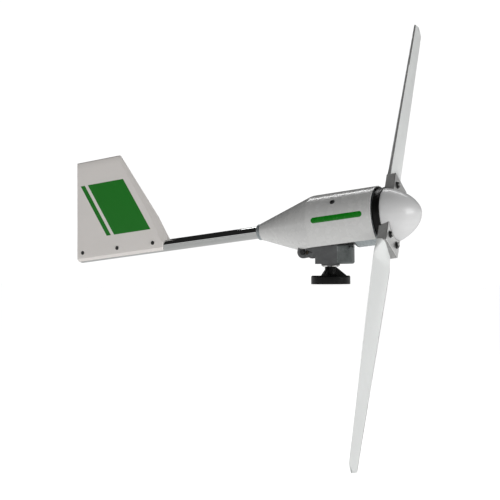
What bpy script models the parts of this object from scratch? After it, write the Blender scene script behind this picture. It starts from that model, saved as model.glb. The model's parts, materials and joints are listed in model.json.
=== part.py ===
"""A small two-blade wind turbine with a tail vane, in metres, +Z up.

The origin is the centre of the mast flange's underside, on the yaw axis, and +X points
from the tail to the nose. Four bodies hang in a chain: mast base, yaw head, nacelle, rotor.
"""

import bpy
import bmesh
from math import cos, pi, radians, sin, sqrt
from mathutils import Matrix, Vector

GAP = 0.0003                    # between neighbouring pieces
RUNNING_FIT = 0.00005           # radial clearance of a pin that turns in a bush
CUT = 0.002                     # how far a cutter runs past a face

# Mast base
FLANGE_RADIUS = 0.0733
FLANGE_THICKNESS = 0.0322
FLANGE_ROUNDING = 0.005
FLANGE_HOLE_CIRCLE = 0.056
FLANGE_HOLE_RADIUS = 0.004
FLANGE_HOLE_DEPTH = 0.018
NECK_RADIUS = 0.0217
NECK_TOP = 0.0665
GUSSET_REACH = 0.058
GUSSET_TOP = 0.063
GUSSET_THICKNESS = 0.007
GUSSET_ANGLE = radians(28)        # of the first gusset, from +X
SOCKET_FLOOR = 0.0125
SOCKET_LEDGE = 0.0300
WIRE_CHAMBER_RADIUS = 0.0112
WIRE_RADIUS = 0.0016
WIRE_HOLE_RADIUS = 0.0032
WIRE_CIRCLE = 0.0085

# Sealed ball bearings, one size in the yaw head and in the alternator
SHAFT_RADIUS = 0.0125
BEARING_RADIUS = 0.0232
BEARING_SEAT = BEARING_RADIUS + GAP
BEARING_WIDTH = 0.012
TURNED_STEPS = 24

# Yaw shaft and slip rings
SHAFT_BORE = 0.0075
SHAFT_FOOT = SOCKET_LEDGE + GAP
SHAFT_TOP = 0.1385
YAW_BEARINGS = (0.0785, 0.1200)
LOCK_NUT = (0.1323, 0.1378, 0.0185)
SLIP_CORE = (0.0925, 0.1185, 0.0158)
SLIP_RING = (0.0185, 0.004)
CABLE_RADIUS = 0.0055
SLIP_RING_HEIGHTS = (0.0965, 0.1040, 0.1115)

# Yaw head
HEAD_BOTTOM = 0.0757
HEAD_TOP = 0.1400
HEAD_HALF_WIDTH = 0.045
HEAD_REAR = -0.046
HEAD_FRONT = 0.045
CHAMBER_RADIUS = 0.0212
CHAMBER = (0.0912, 0.1197)
CHEEK_THICKNESS = 0.008
CHEEK_RADIUS = 0.024
HINGE_X = -0.093
HINGE_Z = 0.121
HINGE_RADIUS = 0.006
CAP_RADIUS = 0.0345
CAP_BOTTOM = 0.0690
CAP_SCREW_CIRCLE = 0.0285
CAP_SCREW_RADIUS = 0.002
DUST_CAP = (0.031, 0.003, 0.0015)
BRUSH_BOX_TOP = 0.145
BRUSH_BOX_WALL = 0.004
BRUSH_BOX_CENTRE = 0.0486
BRUSH_BOX_ROUNDING = 0.008
WINDOW_HALF_WIDTH = 0.011
WINDOW = (0.0935, 0.1165)

# Nacelle: lengths along the rotor axis are measured from the point above the mast
AXIS_HEIGHT = 0.2248
REST_TILT = radians(5.84)
SHELL_RADIUS = 0.115
SHELL_WALL = 0.003
SHELL_FRONT = 0.2065
SHELL_SHOULDER = -0.052
SHELL_NECK = -0.286
SHELL_NECK_RADIUS = 0.033
SHELL_NECK_RISE = 0.007
SHELL_CUT = -0.083
HINGE_NOTCH = (0.0265, 0.0475)
SHELL_SCREW_AXIAL = 0.055
SHELL_SCREW_ANGLE = radians(38)
FLOOR = (-0.072, -0.062)
FLOOR_REAR = -0.116
FLOOR_HALF_WIDTH = 0.034
LUG_HALF_WIDTH = 0.0200
LUG_RADIUS = 0.0125
BUSH_RADIUS = 0.008
SLEEVE = (-0.112, -0.043)
SLEEVE_RADIUS = 0.031
SADDLE_THICKNESS = 0.008
SADDLE_HALF_WIDTH = 0.030
POST_RADIUS = 0.007
ARM_RADII = (0.080, 0.0900)
ARM_REAR = 0.046
SMALL_SCREW = 0.002

# Alternator
HOUSING_RADIUS = 0.100
HOUSING_BORE = 0.0905
HOUSING = (0.1125, 0.2003)
REAR_BELL = (0.1070, 0.1122)
FRONT_BELL = (0.2006, 0.2058)
BELL_HUB_RADIUS = 0.030
SHAFT_BEARINGS = (0.1125, 0.1895)
CORE = (0.130, 0.180)
CORE_RADIUS = 0.0899
CORE_BORE = 0.0685
SLOT_RADIUS = 0.0830
SLOTS = 18
SLOT_WIDTH = 0.0088
MAGNET_RING = (0.0617, 0.0665)
DRUM_RADIUS = 0.0614
DRUM_WALL = 0.009
DRUM_HUB = 0.022
DRUM_WEB = (0.150, 0.160)

# Tail
BOOM_RADIUS = 0.024
BOOM_WALL = 0.002
BOOM_RISE = 0.007
BOOM_FRONT = -0.040
BOOM_REAR = -1.168
BOOM_BOLTS = (-0.092, -0.064)
COLLAR = (-0.301, -0.2865, 0.031)
COLLAR_SPIGOT = (-0.275, 0.0293)
VANE_WALL = 0.0025
VANE_SEAM = 0.00015
VANE_SCREWS = (-1.142, -0.962, -0.783)
VANE_SCREW_RISE = 0.023
VANE_SCREW_RADIUS = 0.003

# Rotor
ROTOR_RADIUS = 1.0
TIP_REACH = ((0.0, -0.010), (0.45, 0.010), (1.0, -0.004))
ROTOR_REST = radians(-34.77)
BACKPLATE = (0.2085, 0.2277)
BACKPLATE_RADIUS = 0.105
BACKPLATE_LIP = (0.2310, 0.2360, 0.1068)
HUB = (0.2280, 0.2640)
HUB_REACH = 0.152
HUB_HALF_WIDTH = 0.059
POCKET_DEPTH = 0.073
ROOT_WIDTH = 0.106
ROOT_THICKNESS = 0.014
ROOT_AXIAL = 0.2430
ROOT_PITCH = radians(4.9)
TIP_PITCH = radians(-1.2)
ROOT_CHORD = 0.134
TIP_CHORD = 0.074
CHORD_AXIAL = (0.2326, 0.2393)
CHORD_OFFSET = (0.0038, 0.0078)
AIRFOIL_START = 0.175
SECTION_THICKNESS = 0.13
BACK_SHARE = 1.2                # of the section's half thickness, behind the chord line
FACE_SHARE = 0.8                # and in front of it
BLADE_BOLT_RADIAL = 0.113
BLADE_BOLT_OFFSET = 0.033
BLADE_BOLT_RADIUS = 0.005
SHAFT_REAR = 0.1112
SHAFT_NOSE = 0.2850
HUB_NUT = (0.2643, 0.2763, 0.021)
SPINNER_RIM = 0.2315
SPINNER_NOSE = 0.3576
SPINNER_RADIUS = 0.112
SPINNER_WALL = 0.003


# ---------------------------------------------------------------- scene and materials

for old in list(bpy.data.objects):
    bpy.data.objects.remove(old, do_unlink=True)

PARTS = bpy.data.collections.new("small_wind_turbine")
CUTTERS = bpy.data.collections.new("cutters")
bpy.context.scene.collection.children.link(PARTS)
bpy.context.scene.collection.children.link(CUTTERS)

FINISHES = {
    "black_casting": ((0.02, 0.02, 0.022), 0.45, 0.0),
    "grey_casting": ((0.16, 0.16, 0.165), 0.5, 0.3),
    "light_casting": ((0.55, 0.55, 0.55), 0.45, 0.6),
    "white_paint": ((0.80, 0.80, 0.79), 0.35, 0.0),
    "vane_paint": ((0.62, 0.60, 0.57), 0.45, 0.0),
    "blade_plastic": ((0.80, 0.81, 0.80), 0.4, 0.0),
    "steel": ((0.45, 0.45, 0.46), 0.3, 1.0),
    "zinc": ((0.75, 0.75, 0.72), 0.3, 1.0),
    "dark_steel": ((0.06, 0.06, 0.06), 0.45, 0.8),
    "stainless": ((0.70, 0.71, 0.72), 0.12, 1.0),
    "laminations": ((0.22, 0.22, 0.23), 0.55, 0.7),
    "copper": ((0.72, 0.33, 0.16), 0.35, 1.0),
    "bronze": ((0.62, 0.42, 0.18), 0.35, 1.0),
    "magnet": ((0.35, 0.35, 0.38), 0.3, 0.9),
    "carbon": ((0.03, 0.03, 0.03), 0.7, 0.0),
    "insulator": ((0.45, 0.20, 0.08), 0.5, 0.0),
    "rubber": ((0.02, 0.02, 0.02), 0.8, 0.0),
}


def material(name, finish):
    """A Principled material of the part's own."""
    colour, roughness, metallic = FINISHES[finish]
    made = bpy.data.materials.new(name)
    made.use_nodes = True
    shader = made.node_tree.nodes["Principled BSDF"]
    shader.inputs["Base Color"].default_value = (*colour, 1.0)
    shader.inputs["Roughness"].default_value = roughness
    shader.inputs["Metallic"].default_value = metallic
    return made


# ---------------------------------------------------------------- frames

def empty(name, location, rotation, parent=None):
    """A joint's or a group's parent frame."""
    made = bpy.data.objects.new(name, None)
    made.location = location
    made.rotation_euler = rotation
    made.parent = parent
    PARTS.objects.link(made)
    return made


YAW_AXIS = empty("yaw_axis", (0, 0, 0), (0, 0, 0))
NACELLE = empty("nacelle_frame", (0, 0, AXIS_HEIGHT), (0, -REST_TILT, 0), YAW_AXIS)
ROTOR = empty("rotor_frame", (0, 0, 0), (ROTOR_REST, 0, 0), NACELLE)

TO_NACELLE = Matrix.Rotation(REST_TILT, 4, "Y") @ Matrix.Translation((0, 0, -AXIS_HEIGHT))
HINGE = TO_NACELLE @ Vector((HINGE_X, 0, HINGE_Z))
ALONG_X = Matrix.Rotation(pi / 2, 4, "Y")       # turns a +Z shape to +X
ACROSS = Matrix.Rotation(pi / 2, 4, "X")        # stands an XY outline up in XZ


# ---------------------------------------------------------------- making objects

def place(name, mesh, finish, frame, matrix=None):
    """Put a mesh in the parts collection, or with no finish, among the cutters."""
    made = bpy.data.objects.new(name, mesh)
    made.parent = frame
    if matrix is not None:
        made.matrix_basis = matrix
    if finish is None:
        CUTTERS.objects.link(made)
        made.hide_render = True
        made.display_type = "WIRE"
        return made
    PARTS.objects.link(made)
    mesh.materials.append(material(name, finish))
    mesh.shade_smooth()
    mesh.set_sharp_from_angle(angle=radians(32))
    return made


def place_each(name, mesh, matrices, finish, frame):
    """Place a numbered copy of a fastener or another repeated piece at each matrix."""
    for number, matrix in enumerate(matrices, start=1):
        place(f"{name}_{number}", mesh.copy(), finish, frame, matrix)


def bake(made):
    """Return the object's evaluated mesh, welded, and remove the object."""
    bpy.context.view_layer.update()
    graph = bpy.context.evaluated_depsgraph_get()
    mesh = bpy.data.meshes.new_from_object(made.evaluated_get(graph))
    bpy.data.objects.remove(made)
    solid = bmesh.new()
    solid.from_mesh(mesh)
    bmesh.ops.remove_doubles(solid, verts=solid.verts, dist=0.00001)
    solid.to_mesh(mesh)
    solid.free()
    return mesh


def profile_mesh(name, points, closed):
    """A radius and height profile in the XZ plane, run down its outer side."""
    count = len(points)
    edges = [(i, i + 1) for i in range(count - 1)]
    if closed:
        edges.append((count - 1, 0))
    mesh = bpy.data.meshes.new(name)
    mesh.from_pydata([(radius, 0, height) for radius, height in points], edges, [])
    return mesh


def turned(name, points, steps, finish, frame, matrix=None, closed=False):
    """A turned piece: the profile swept around its +Z axis by a Screw modifier."""
    made = place(name, profile_mesh(name, points, closed), finish, frame, matrix)
    screw = made.modifiers.new("turn", "SCREW")
    screw.axis = "Z"
    screw.angle = 2 * pi
    screw.steps = steps
    screw.render_steps = steps
    screw.use_merge_vertices = True
    screw.merge_threshold = 0.00001
    screw.use_smooth_shade = True
    return made


def ring_profile(inner, outer, low, high):
    return [(outer, high), (outer, low), (inner, low), (inner, high)]


def turned_mesh(points, steps, closed=False):
    """The baked mesh of a turned shape, to be copied."""
    return bake(turned("turned_shape", points, steps, None, None, None, closed))


def outline_mesh(outlines, thickness):
    """A flat plate about z = 0 from closed outlines; the inner ones are holes."""
    curve = bpy.data.curves.new("outline", "CURVE")
    curve.dimensions = "2D"
    curve.fill_mode = "BOTH"
    curve.extrude = thickness / 2
    for points in outlines:
        spline = curve.splines.new("POLY")
        spline.points.add(len(points) - 1)
        for point, (x, y) in zip(spline.points, points):
            point.co = (x, y, 0, 1)
        spline.use_cyclic_u = True
    made = bpy.data.objects.new("outline", curve)
    CUTTERS.objects.link(made)
    return bake(made)


def wire_mesh(paths, radius):
    """Round wires along paths of points, with closed ends."""
    curve = bpy.data.curves.new("wire", "CURVE")
    curve.dimensions = "3D"
    curve.bevel_depth = radius
    curve.bevel_resolution = 2
    curve.use_fill_caps = True
    for path in paths:
        spline = curve.splines.new("POLY")
        spline.points.add(len(path) - 1)
        for point, corner in zip(spline.points, path):
            point.co = (*corner, 1)
    made = bpy.data.objects.new("wire", curve)
    CUTTERS.objects.link(made)
    return bake(made)


def loft_mesh(name, rings, looped=False):
    """Skin a list of rings that have equal numbers of points, first ring on top."""
    solid = bmesh.new()
    rows = [[solid.verts.new(corner) for corner in ring] for ring in rings]
    pairs = list(zip(rows, rows[1:]))
    if looped:
        pairs.append((rows[-1], rows[0]))
    for upper, lower in pairs:
        for i in range(len(upper)):
            j = (i + 1) % len(upper)
            solid.faces.new((upper[i], lower[i], lower[j], upper[j]))
    if not looped:
        solid.faces.new(rows[0])
        solid.faces.new(reversed(rows[-1]))
    mesh = bpy.data.meshes.new(name)
    solid.to_mesh(mesh)
    solid.free()
    return mesh


def copies(mesh, matrices):
    """One mesh that holds a copy of the given mesh at each matrix."""
    solid = bmesh.new()
    for matrix in matrices:
        first = len(solid.verts)
        solid.from_mesh(mesh)
        solid.verts.ensure_lookup_table()
        bmesh.ops.transform(solid, matrix=matrix, verts=solid.verts[first:])
    made = bpy.data.meshes.new("copies")
    solid.to_mesh(made)
    solid.free()
    return made


def box_mesh(low, high):
    """A box between two opposite corners."""
    size = Vector(high) - Vector(low)
    centre = (Vector(high) + Vector(low)) / 2
    solid = bmesh.new()
    bmesh.ops.create_cube(solid, size=1, matrix=Matrix.Translation(centre) @ Matrix.Diagonal((*size, 1)))
    mesh = bpy.data.meshes.new("box")
    solid.to_mesh(mesh)
    solid.free()
    return mesh


def rod_mesh(radius, low, high, segments=16):
    """A cylinder on the Z axis."""
    solid = bmesh.new()
    bmesh.ops.create_cone(solid, cap_ends=True, segments=segments, radius1=radius, radius2=radius,
                          depth=high - low, matrix=Matrix.Translation((0, 0, (low + high) / 2)))
    mesh = bpy.data.meshes.new("rod")
    solid.to_mesh(mesh)
    solid.free()
    return mesh


def combine(made, tool, operation):
    """Cut a tool object out of a part, or join it on."""
    modifier = made.modifiers.new(tool.name, "BOOLEAN")
    modifier.operation = operation
    modifier.solver = "EXACT"
    modifier.object = tool


def cut(made, name, mesh, frame, matrix=None):
    combine(made, place(name, mesh, None, frame, matrix), "DIFFERENCE")


def join(made, name, mesh, frame, matrix=None):
    combine(made, place(name, mesh, None, frame, matrix), "UNION")


def around(count, radius, start=0.0):
    """Matrices spaced around Z, each turned so that its X points outward."""
    made = []
    for i in range(count):
        angle = start + 2 * pi * i / count
        spin = Matrix.Rotation(angle, 4, "Z")
        where = Matrix.Translation((radius * cos(angle), radius * sin(angle), 0))
        made.append(where @ spin)
    return made


def at(x, y, z):
    return Matrix.Translation((x, y, z))


def arc(centre, radius, start, end, count):
    """Points on an arc, ends included."""
    angles = [start + (end - start) * i / (count - 1) for i in range(count)]
    return [(centre[0] + radius * cos(a), centre[1] + radius * sin(a)) for a in angles]


def circle(radius, count, centre=(0.0, 0.0)):
    return arc(centre, radius, 0, 2 * pi * (count - 1) / count, count)


# ---------------------------------------------------------------- fasteners and bearings

def hexagon(radius, height):
    """A hexagon as 12 points: its corners and the middles of its sides."""
    ring = []
    for i in range(12):
        reach = radius if i % 2 == 0 else radius * cos(pi / 6)
        ring.append(Vector((reach * cos(i * pi / 6), reach * sin(i * pi / 6), height)))
    return ring


def round_ring(radius, height):
    return [Vector((radius * cos(i * pi / 6), radius * sin(i * pi / 6), height)) for i in range(12)]


def hex_bolt(head_radius, head_height, shank_radius, length):
    """A hexagon bolt, its head standing on z = 0 and its shank running down."""
    rings = [hexagon(head_radius, head_height), hexagon(head_radius, 0),
             round_ring(shank_radius, 0), round_ring(shank_radius, -length)]
    return loft_mesh("hex_bolt", rings)


def hex_nut(radius, bore, height):
    """A hexagon nut standing on z = 0."""
    reach = bore / cos(pi / 12)
    rings = [hexagon(radius, height), hexagon(radius, 0), round_ring(reach, 0), round_ring(reach, height)]
    return loft_mesh("hex_nut", rings, looped=True)


def pan_screw(head_radius, head_height, shank_radius, length):
    """A round-headed screw, its head standing on z = 0 and its shank running down."""
    dome = 0.7
    points = [(0, head_height), (head_radius * dome, head_height), (head_radius, head_height * 0.4),
              (head_radius, 0), (shank_radius, 0), (shank_radius, -length), (0, -length)]
    return turned_mesh(points, 8)


def bearing(name, low, frame, matrix):
    """A sealed bearing, one ring that holds a shaft at a running fit."""
    bore = (SHAFT_RADIUS + RUNNING_FIT) / cos(pi / TURNED_STEPS)
    points = ring_profile(bore, BEARING_RADIUS, low, low + BEARING_WIDTH)
    turned(name, points, TURNED_STEPS, "steel", frame, matrix, closed=True)


# ---------------------------------------------------------------- mast base

def base_flange():
    """Cast mast flange with a shaft socket, three gussets, tapped holes and wire holes."""
    socket = SHAFT_RADIUS + GAP
    corner = arc((FLANGE_RADIUS - FLANGE_ROUNDING, FLANGE_THICKNESS - FLANGE_ROUNDING),
                 FLANGE_ROUNDING, pi / 2, 0, 4)
    points = [(0, SOCKET_FLOOR), (WIRE_CHAMBER_RADIUS, SOCKET_FLOOR), (WIRE_CHAMBER_RADIUS, SOCKET_LEDGE),
              (socket, SOCKET_LEDGE), (socket, NECK_TOP), (NECK_RADIUS, NECK_TOP),
              (NECK_RADIUS, FLANGE_THICKNESS + 0.004), (NECK_RADIUS + 0.004, FLANGE_THICKNESS),
              *corner, (FLANGE_RADIUS, 0.001), (FLANGE_RADIUS - 0.001, 0), (0, 0)]
    flange = turned("base_flange", points, 32, "black_casting", None)
    low = FLANGE_THICKNESS - 0.003
    root = (SHAFT_RADIUS + NECK_RADIUS) / 2
    gusset = outline_mesh([[(root, low), (GUSSET_REACH, low), (GUSSET_REACH, low + 0.004),
                            (NECK_RADIUS + 0.001, GUSSET_TOP), (root, GUSSET_TOP)]], GUSSET_THICKNESS)
    turns = [spin @ ACROSS for spin in around(3, 0, GUSSET_ANGLE)]
    join(flange, "gussets", copies(gusset, turns), None)
    hole = rod_mesh(FLANGE_HOLE_RADIUS, -CUT, FLANGE_HOLE_DEPTH, 12)
    cut(flange, "flange_holes", copies(hole, around(6, FLANGE_HOLE_CIRCLE, pi / 6 + GUSSET_ANGLE)), None)
    wire_hole = rod_mesh(WIRE_HOLE_RADIUS, -CUT, SOCKET_FLOOR + CUT, 10)
    cut(flange, "wire_holes", copies(wire_hole, around(3, WIRE_CIRCLE, pi / 3)), None)


def yaw_shaft():
    """Hollow shaft pressed in the flange, its lock nut, slip ring drum and the down cable."""
    turned("yaw_shaft", ring_profile(SHAFT_BORE, SHAFT_RADIUS, SHAFT_FOOT, SHAFT_TOP), TURNED_STEPS,
           "steel", None, closed=True)
    low, high, radius = LOCK_NUT
    place("yaw_lock_nut", hex_nut(radius, SHAFT_RADIUS + GAP, high - low), "zinc", None, at(0, 0, low))

    low, high, core = SLIP_CORE
    radius, width = SLIP_RING
    side = []
    for ring in reversed(SLIP_RING_HEIGHTS):
        side += [(core, ring + width), (radius, ring + width), (radius, ring), (core, ring)]
    bore = SHAFT_RADIUS + GAP
    turned("slip_ring_drum", [(core, high), *side, (core, low), (bore, low), (bore, high)], 18,
           "copper", None, closed=True)

    split = SOCKET_LEDGE + 0.004
    cable = place("down_cable", rod_mesh(CABLE_RADIUS, split, SHAFT_TOP - 0.012, 14), "rubber", None)
    paths = []
    for i in range(3):
        angle = pi / 3 + 2 * pi * i / 3
        inside = CABLE_RADIUS / 2
        spread = [(WIRE_CIRCLE, CUT), (WIRE_CIRCLE, SOCKET_FLOOR + 0.003),
                  (inside, split - 0.002), (inside, split + 0.004)]
        paths.append([(reach * cos(angle), reach * sin(angle), z) for reach, z in spread])
    join(cable, "phase_wires", wire_mesh(paths, WIRE_RADIUS), None)


# ---------------------------------------------------------------- yaw head

def yaw_housing():
    """Cast block on the yaw bearings, with two hinge cheeks behind it."""
    half = HEAD_HALF_WIDTH
    block = box_mesh((HEAD_REAR, -half, HEAD_BOTTOM), (HEAD_FRONT, half, HEAD_TOP))
    housing = place("yaw_housing", block, "grey_casting", YAW_AXIS)
    top = HEAD_TOP - 0.001
    foot = HEAD_REAR + 0.006
    boss = arc((HINGE_X, HINGE_Z), CHEEK_RADIUS, radians(62), radians(278), 13)
    cheek = outline_mesh([[(foot, top), *boss, (foot, 0.1035)]], CHEEK_THICKNESS)
    middle = half - CHEEK_THICKNESS / 2 - 0.0002
    join(housing, "cheeks", copies(cheek, [at(0, s * middle, 0) @ ACROSS for s in (1, -1)]), YAW_AXIS)
    bores = [(BEARING_SEAT, HEAD_TOP + CUT), (BEARING_SEAT, CHAMBER[1]), (CHAMBER_RADIUS, CHAMBER[1]),
             (CHAMBER_RADIUS, CHAMBER[0]), (BEARING_SEAT, CHAMBER[0]), (BEARING_SEAT, HEAD_BOTTOM - CUT)]
    profile = [(0, HEAD_TOP + CUT), *bores, (0, HEAD_BOTTOM - CUT)]
    cut(housing, "yaw_bores", turned_mesh(profile, 24), YAW_AXIS)
    window = box_mesh((SHAFT_RADIUS, -WINDOW_HALF_WIDTH, WINDOW[0]),
                      (HEAD_FRONT + CUT, WINDOW_HALF_WIDTH, WINDOW[1]))
    cut(housing, "brush_window", window, YAW_AXIS)
    opening = [(HINGE_X + 0.0125, HINGE_Z + 0.0075), (HEAD_REAR - 0.004, HINGE_Z - 0.0025),
               (HINGE_X + 0.006, HINGE_Z - 0.0135)]
    cut(housing, "cheek_windows", outline_mesh([opening], 3 * half), YAW_AXIS, ACROSS)
    cut(housing, "hinge_bore", rod_mesh(HINGE_RADIUS + GAP, -2 * half, 2 * half, 20), YAW_AXIS,
        at(HINGE_X, 0, HINGE_Z) @ ACROSS)
    tapped = rod_mesh(CAP_SCREW_RADIUS + GAP, HEAD_BOTTOM - CUT, 0.0870, 8)
    cut(housing, "cap_screw_holes", copies(tapped, around(4, CAP_SCREW_CIRCLE, pi / 4)), YAW_AXIS)


def bearing_cap():
    """Bottom cap that holds the lower yaw bearing in, its seal and its screws."""
    bore = 0.0168
    spigot = BEARING_RADIUS - GAP
    points = [(spigot, YAW_BEARINGS[0] - GAP), (spigot, HEAD_BOTTOM - GAP), (CAP_RADIUS, HEAD_BOTTOM - GAP),
              (CAP_RADIUS, CAP_BOTTOM + 0.002), (CAP_RADIUS - 0.002, CAP_BOTTOM), (bore, CAP_BOTTOM),
              (bore, YAW_BEARINGS[0] - GAP)]
    cap = turned("lower_bearing_cap", points, 28, "grey_casting", YAW_AXIS, closed=True)
    hole = rod_mesh(CAP_SCREW_RADIUS + GAP, CAP_BOTTOM - CUT, HEAD_BOTTOM + CUT, 8)
    cut(cap, "cap_holes", copies(hole, around(4, CAP_SCREW_CIRCLE, pi / 4)), YAW_AXIS)
    turned("yaw_seal", ring_profile(SHAFT_RADIUS + 2 * RUNNING_FIT, bore - GAP, CAP_BOTTOM, 0.0745), 24,
           "rubber", YAW_AXIS, closed=True)
    screw = hex_bolt(0.0045, 0.0038, CAP_SCREW_RADIUS, 0.0165)
    flip = at(0, 0, CAP_BOTTOM - GAP) @ Matrix.Rotation(pi, 4, "X")
    place_each("cap_screw", screw, [where @ flip for where in around(4, CAP_SCREW_CIRCLE, pi / 4)],
               "zinc", YAW_AXIS)


def dust_cap():
    """Cap over the upper yaw bearing, with the rubber bumper that the cradle rests on."""
    radius, thickness, spigot = DUST_CAP
    low = HEAD_TOP + GAP
    high = low + thickness
    plug = BEARING_SEAT - GAP
    points = [(0, high), (radius - 0.001, high), (radius, high - 0.001), (radius, low), (plug, low),
              (plug, low - spigot + GAP), (0, low - spigot + GAP)]
    turned("yaw_dust_cap", points, 28, "grey_casting", YAW_AXIS)
    bumper_x = 0.012
    head = high + GAP
    height = AXIS_HEIGHT + FLOOR[0] / cos(REST_TILT) + bumper_x * sin(REST_TILT) / cos(REST_TILT) - head
    points = [(0, height - 0.0015), (0.007, height - 0.0015), (0.0085, height - 0.003), (0.0095, 0), (0, 0)]
    turned("tilt_bumper", points, 16, "rubber", YAW_AXIS, at(bumper_x, 0, head))


def brush_box_outline(wall, front):
    """The brush housing's plan: straight sides from the block, then a half circle."""
    radius = HEAD_HALF_WIDTH - wall
    curve = arc((BRUSH_BOX_CENTRE, 0), radius, -pi / 2, pi / 2, 15)
    return [(front, -radius), *curve, (front, radius)]


def brush_housing():
    """Round-nosed cover in front of the block, with brushes that reach the slip rings."""
    rear = HEAD_FRONT + GAP
    height = BRUSH_BOX_TOP - HEAD_BOTTOM
    outline = brush_box_outline(0, rear)
    inset = BRUSH_BOX_ROUNDING
    rows = []
    for angle in (0, pi / 6, pi / 3, pi / 2):
        shrink = inset * (1 - sin(angle))
        level = HEAD_BOTTOM + inset * (1 - cos(angle))
        plan = brush_box_outline(shrink, rear)
        rows.append([Vector((x, y, level)) for x, y in plan])
    rows.append([Vector((x, y, HEAD_BOTTOM + height)) for x, y in outline])
    cover = place("brush_housing", loft_mesh("brush_housing", rows[::-1]), "grey_casting", YAW_AXIS)
    hollow = outline_mesh([brush_box_outline(BRUSH_BOX_WALL, rear - CUT)], height - 2 * BRUSH_BOX_ROUNDING)
    cut(cover, "brush_hollow", hollow, YAW_AXIS, at(0, 0, HEAD_BOTTOM + height / 2))
    screw = pan_screw(0.0026, 0.0015, 0.0014, 0.0025)
    seats = []
    for angle in (radians(10), radians(33)):
        outward = Matrix.Rotation(-angle, 4, "Z") @ Matrix.Rotation(pi / 2, 4, "Y")
        seats.append(at(BRUSH_BOX_CENTRE, 0, 0.1385) @ outward @ at(0, 0, HEAD_HALF_WIDTH + GAP))
    place_each("brush_housing_screw", screw, seats, "dark_steel", YAW_AXIS)
    hole = rod_mesh(0.0014 + GAP, -0.0035, CUT, 8)
    cut(cover, "brush_screw_holes", copies(hole, seats), YAW_AXIS)


def brush_gear():
    """Brush holder and its three carbon brushes, one for each slip ring."""
    low, high = WINDOW[0] + 0.001, WINDOW[1] - 0.001
    rear, front = 0.030, 0.060
    half = WINDOW_HALF_WIDTH - 0.001
    holder = place("brush_holder", box_mesh((rear, -half, low), (front, half, high)), "insulator", YAW_AXIS)
    wide, tall = 0.0045, 0.0015
    middles = [at(0, 0, z + SLIP_RING[1] / 2) for z in SLIP_RING_HEIGHTS]
    slot = box_mesh((rear - CUT, -wide - GAP, -tall - GAP), (front + CUT, wide + GAP, tall + GAP))
    cut(holder, "brush_slots", copies(slot, middles), YAW_AXIS)
    brush = box_mesh((SLIP_RING[0] + GAP, -wide, -tall), (0.052, wide, tall))
    place_each("carbon_brush", brush, middles, "carbon", YAW_AXIS)


def hinge_pin():
    """Tilt hinge bolt across the cheeks, with its nut."""
    half = HEAD_HALF_WIDTH + GAP
    axis = at(HINGE_X, 0, HINGE_Z) @ ACROSS
    bolt = hex_bolt(0.0105, 0.0075, HINGE_RADIUS, 2 * half + 0.0115)
    place("hinge_bolt", bolt, "dark_steel", YAW_AXIS, axis @ at(0, 0, half))
    nut_height = 0.0085
    nut = hex_nut(0.0105, HINGE_RADIUS + GAP, nut_height)
    place("hinge_nut", nut, "zinc", YAW_AXIS, axis @ at(0, 0, -half - nut_height))


# ---------------------------------------------------------------- nacelle

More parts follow.
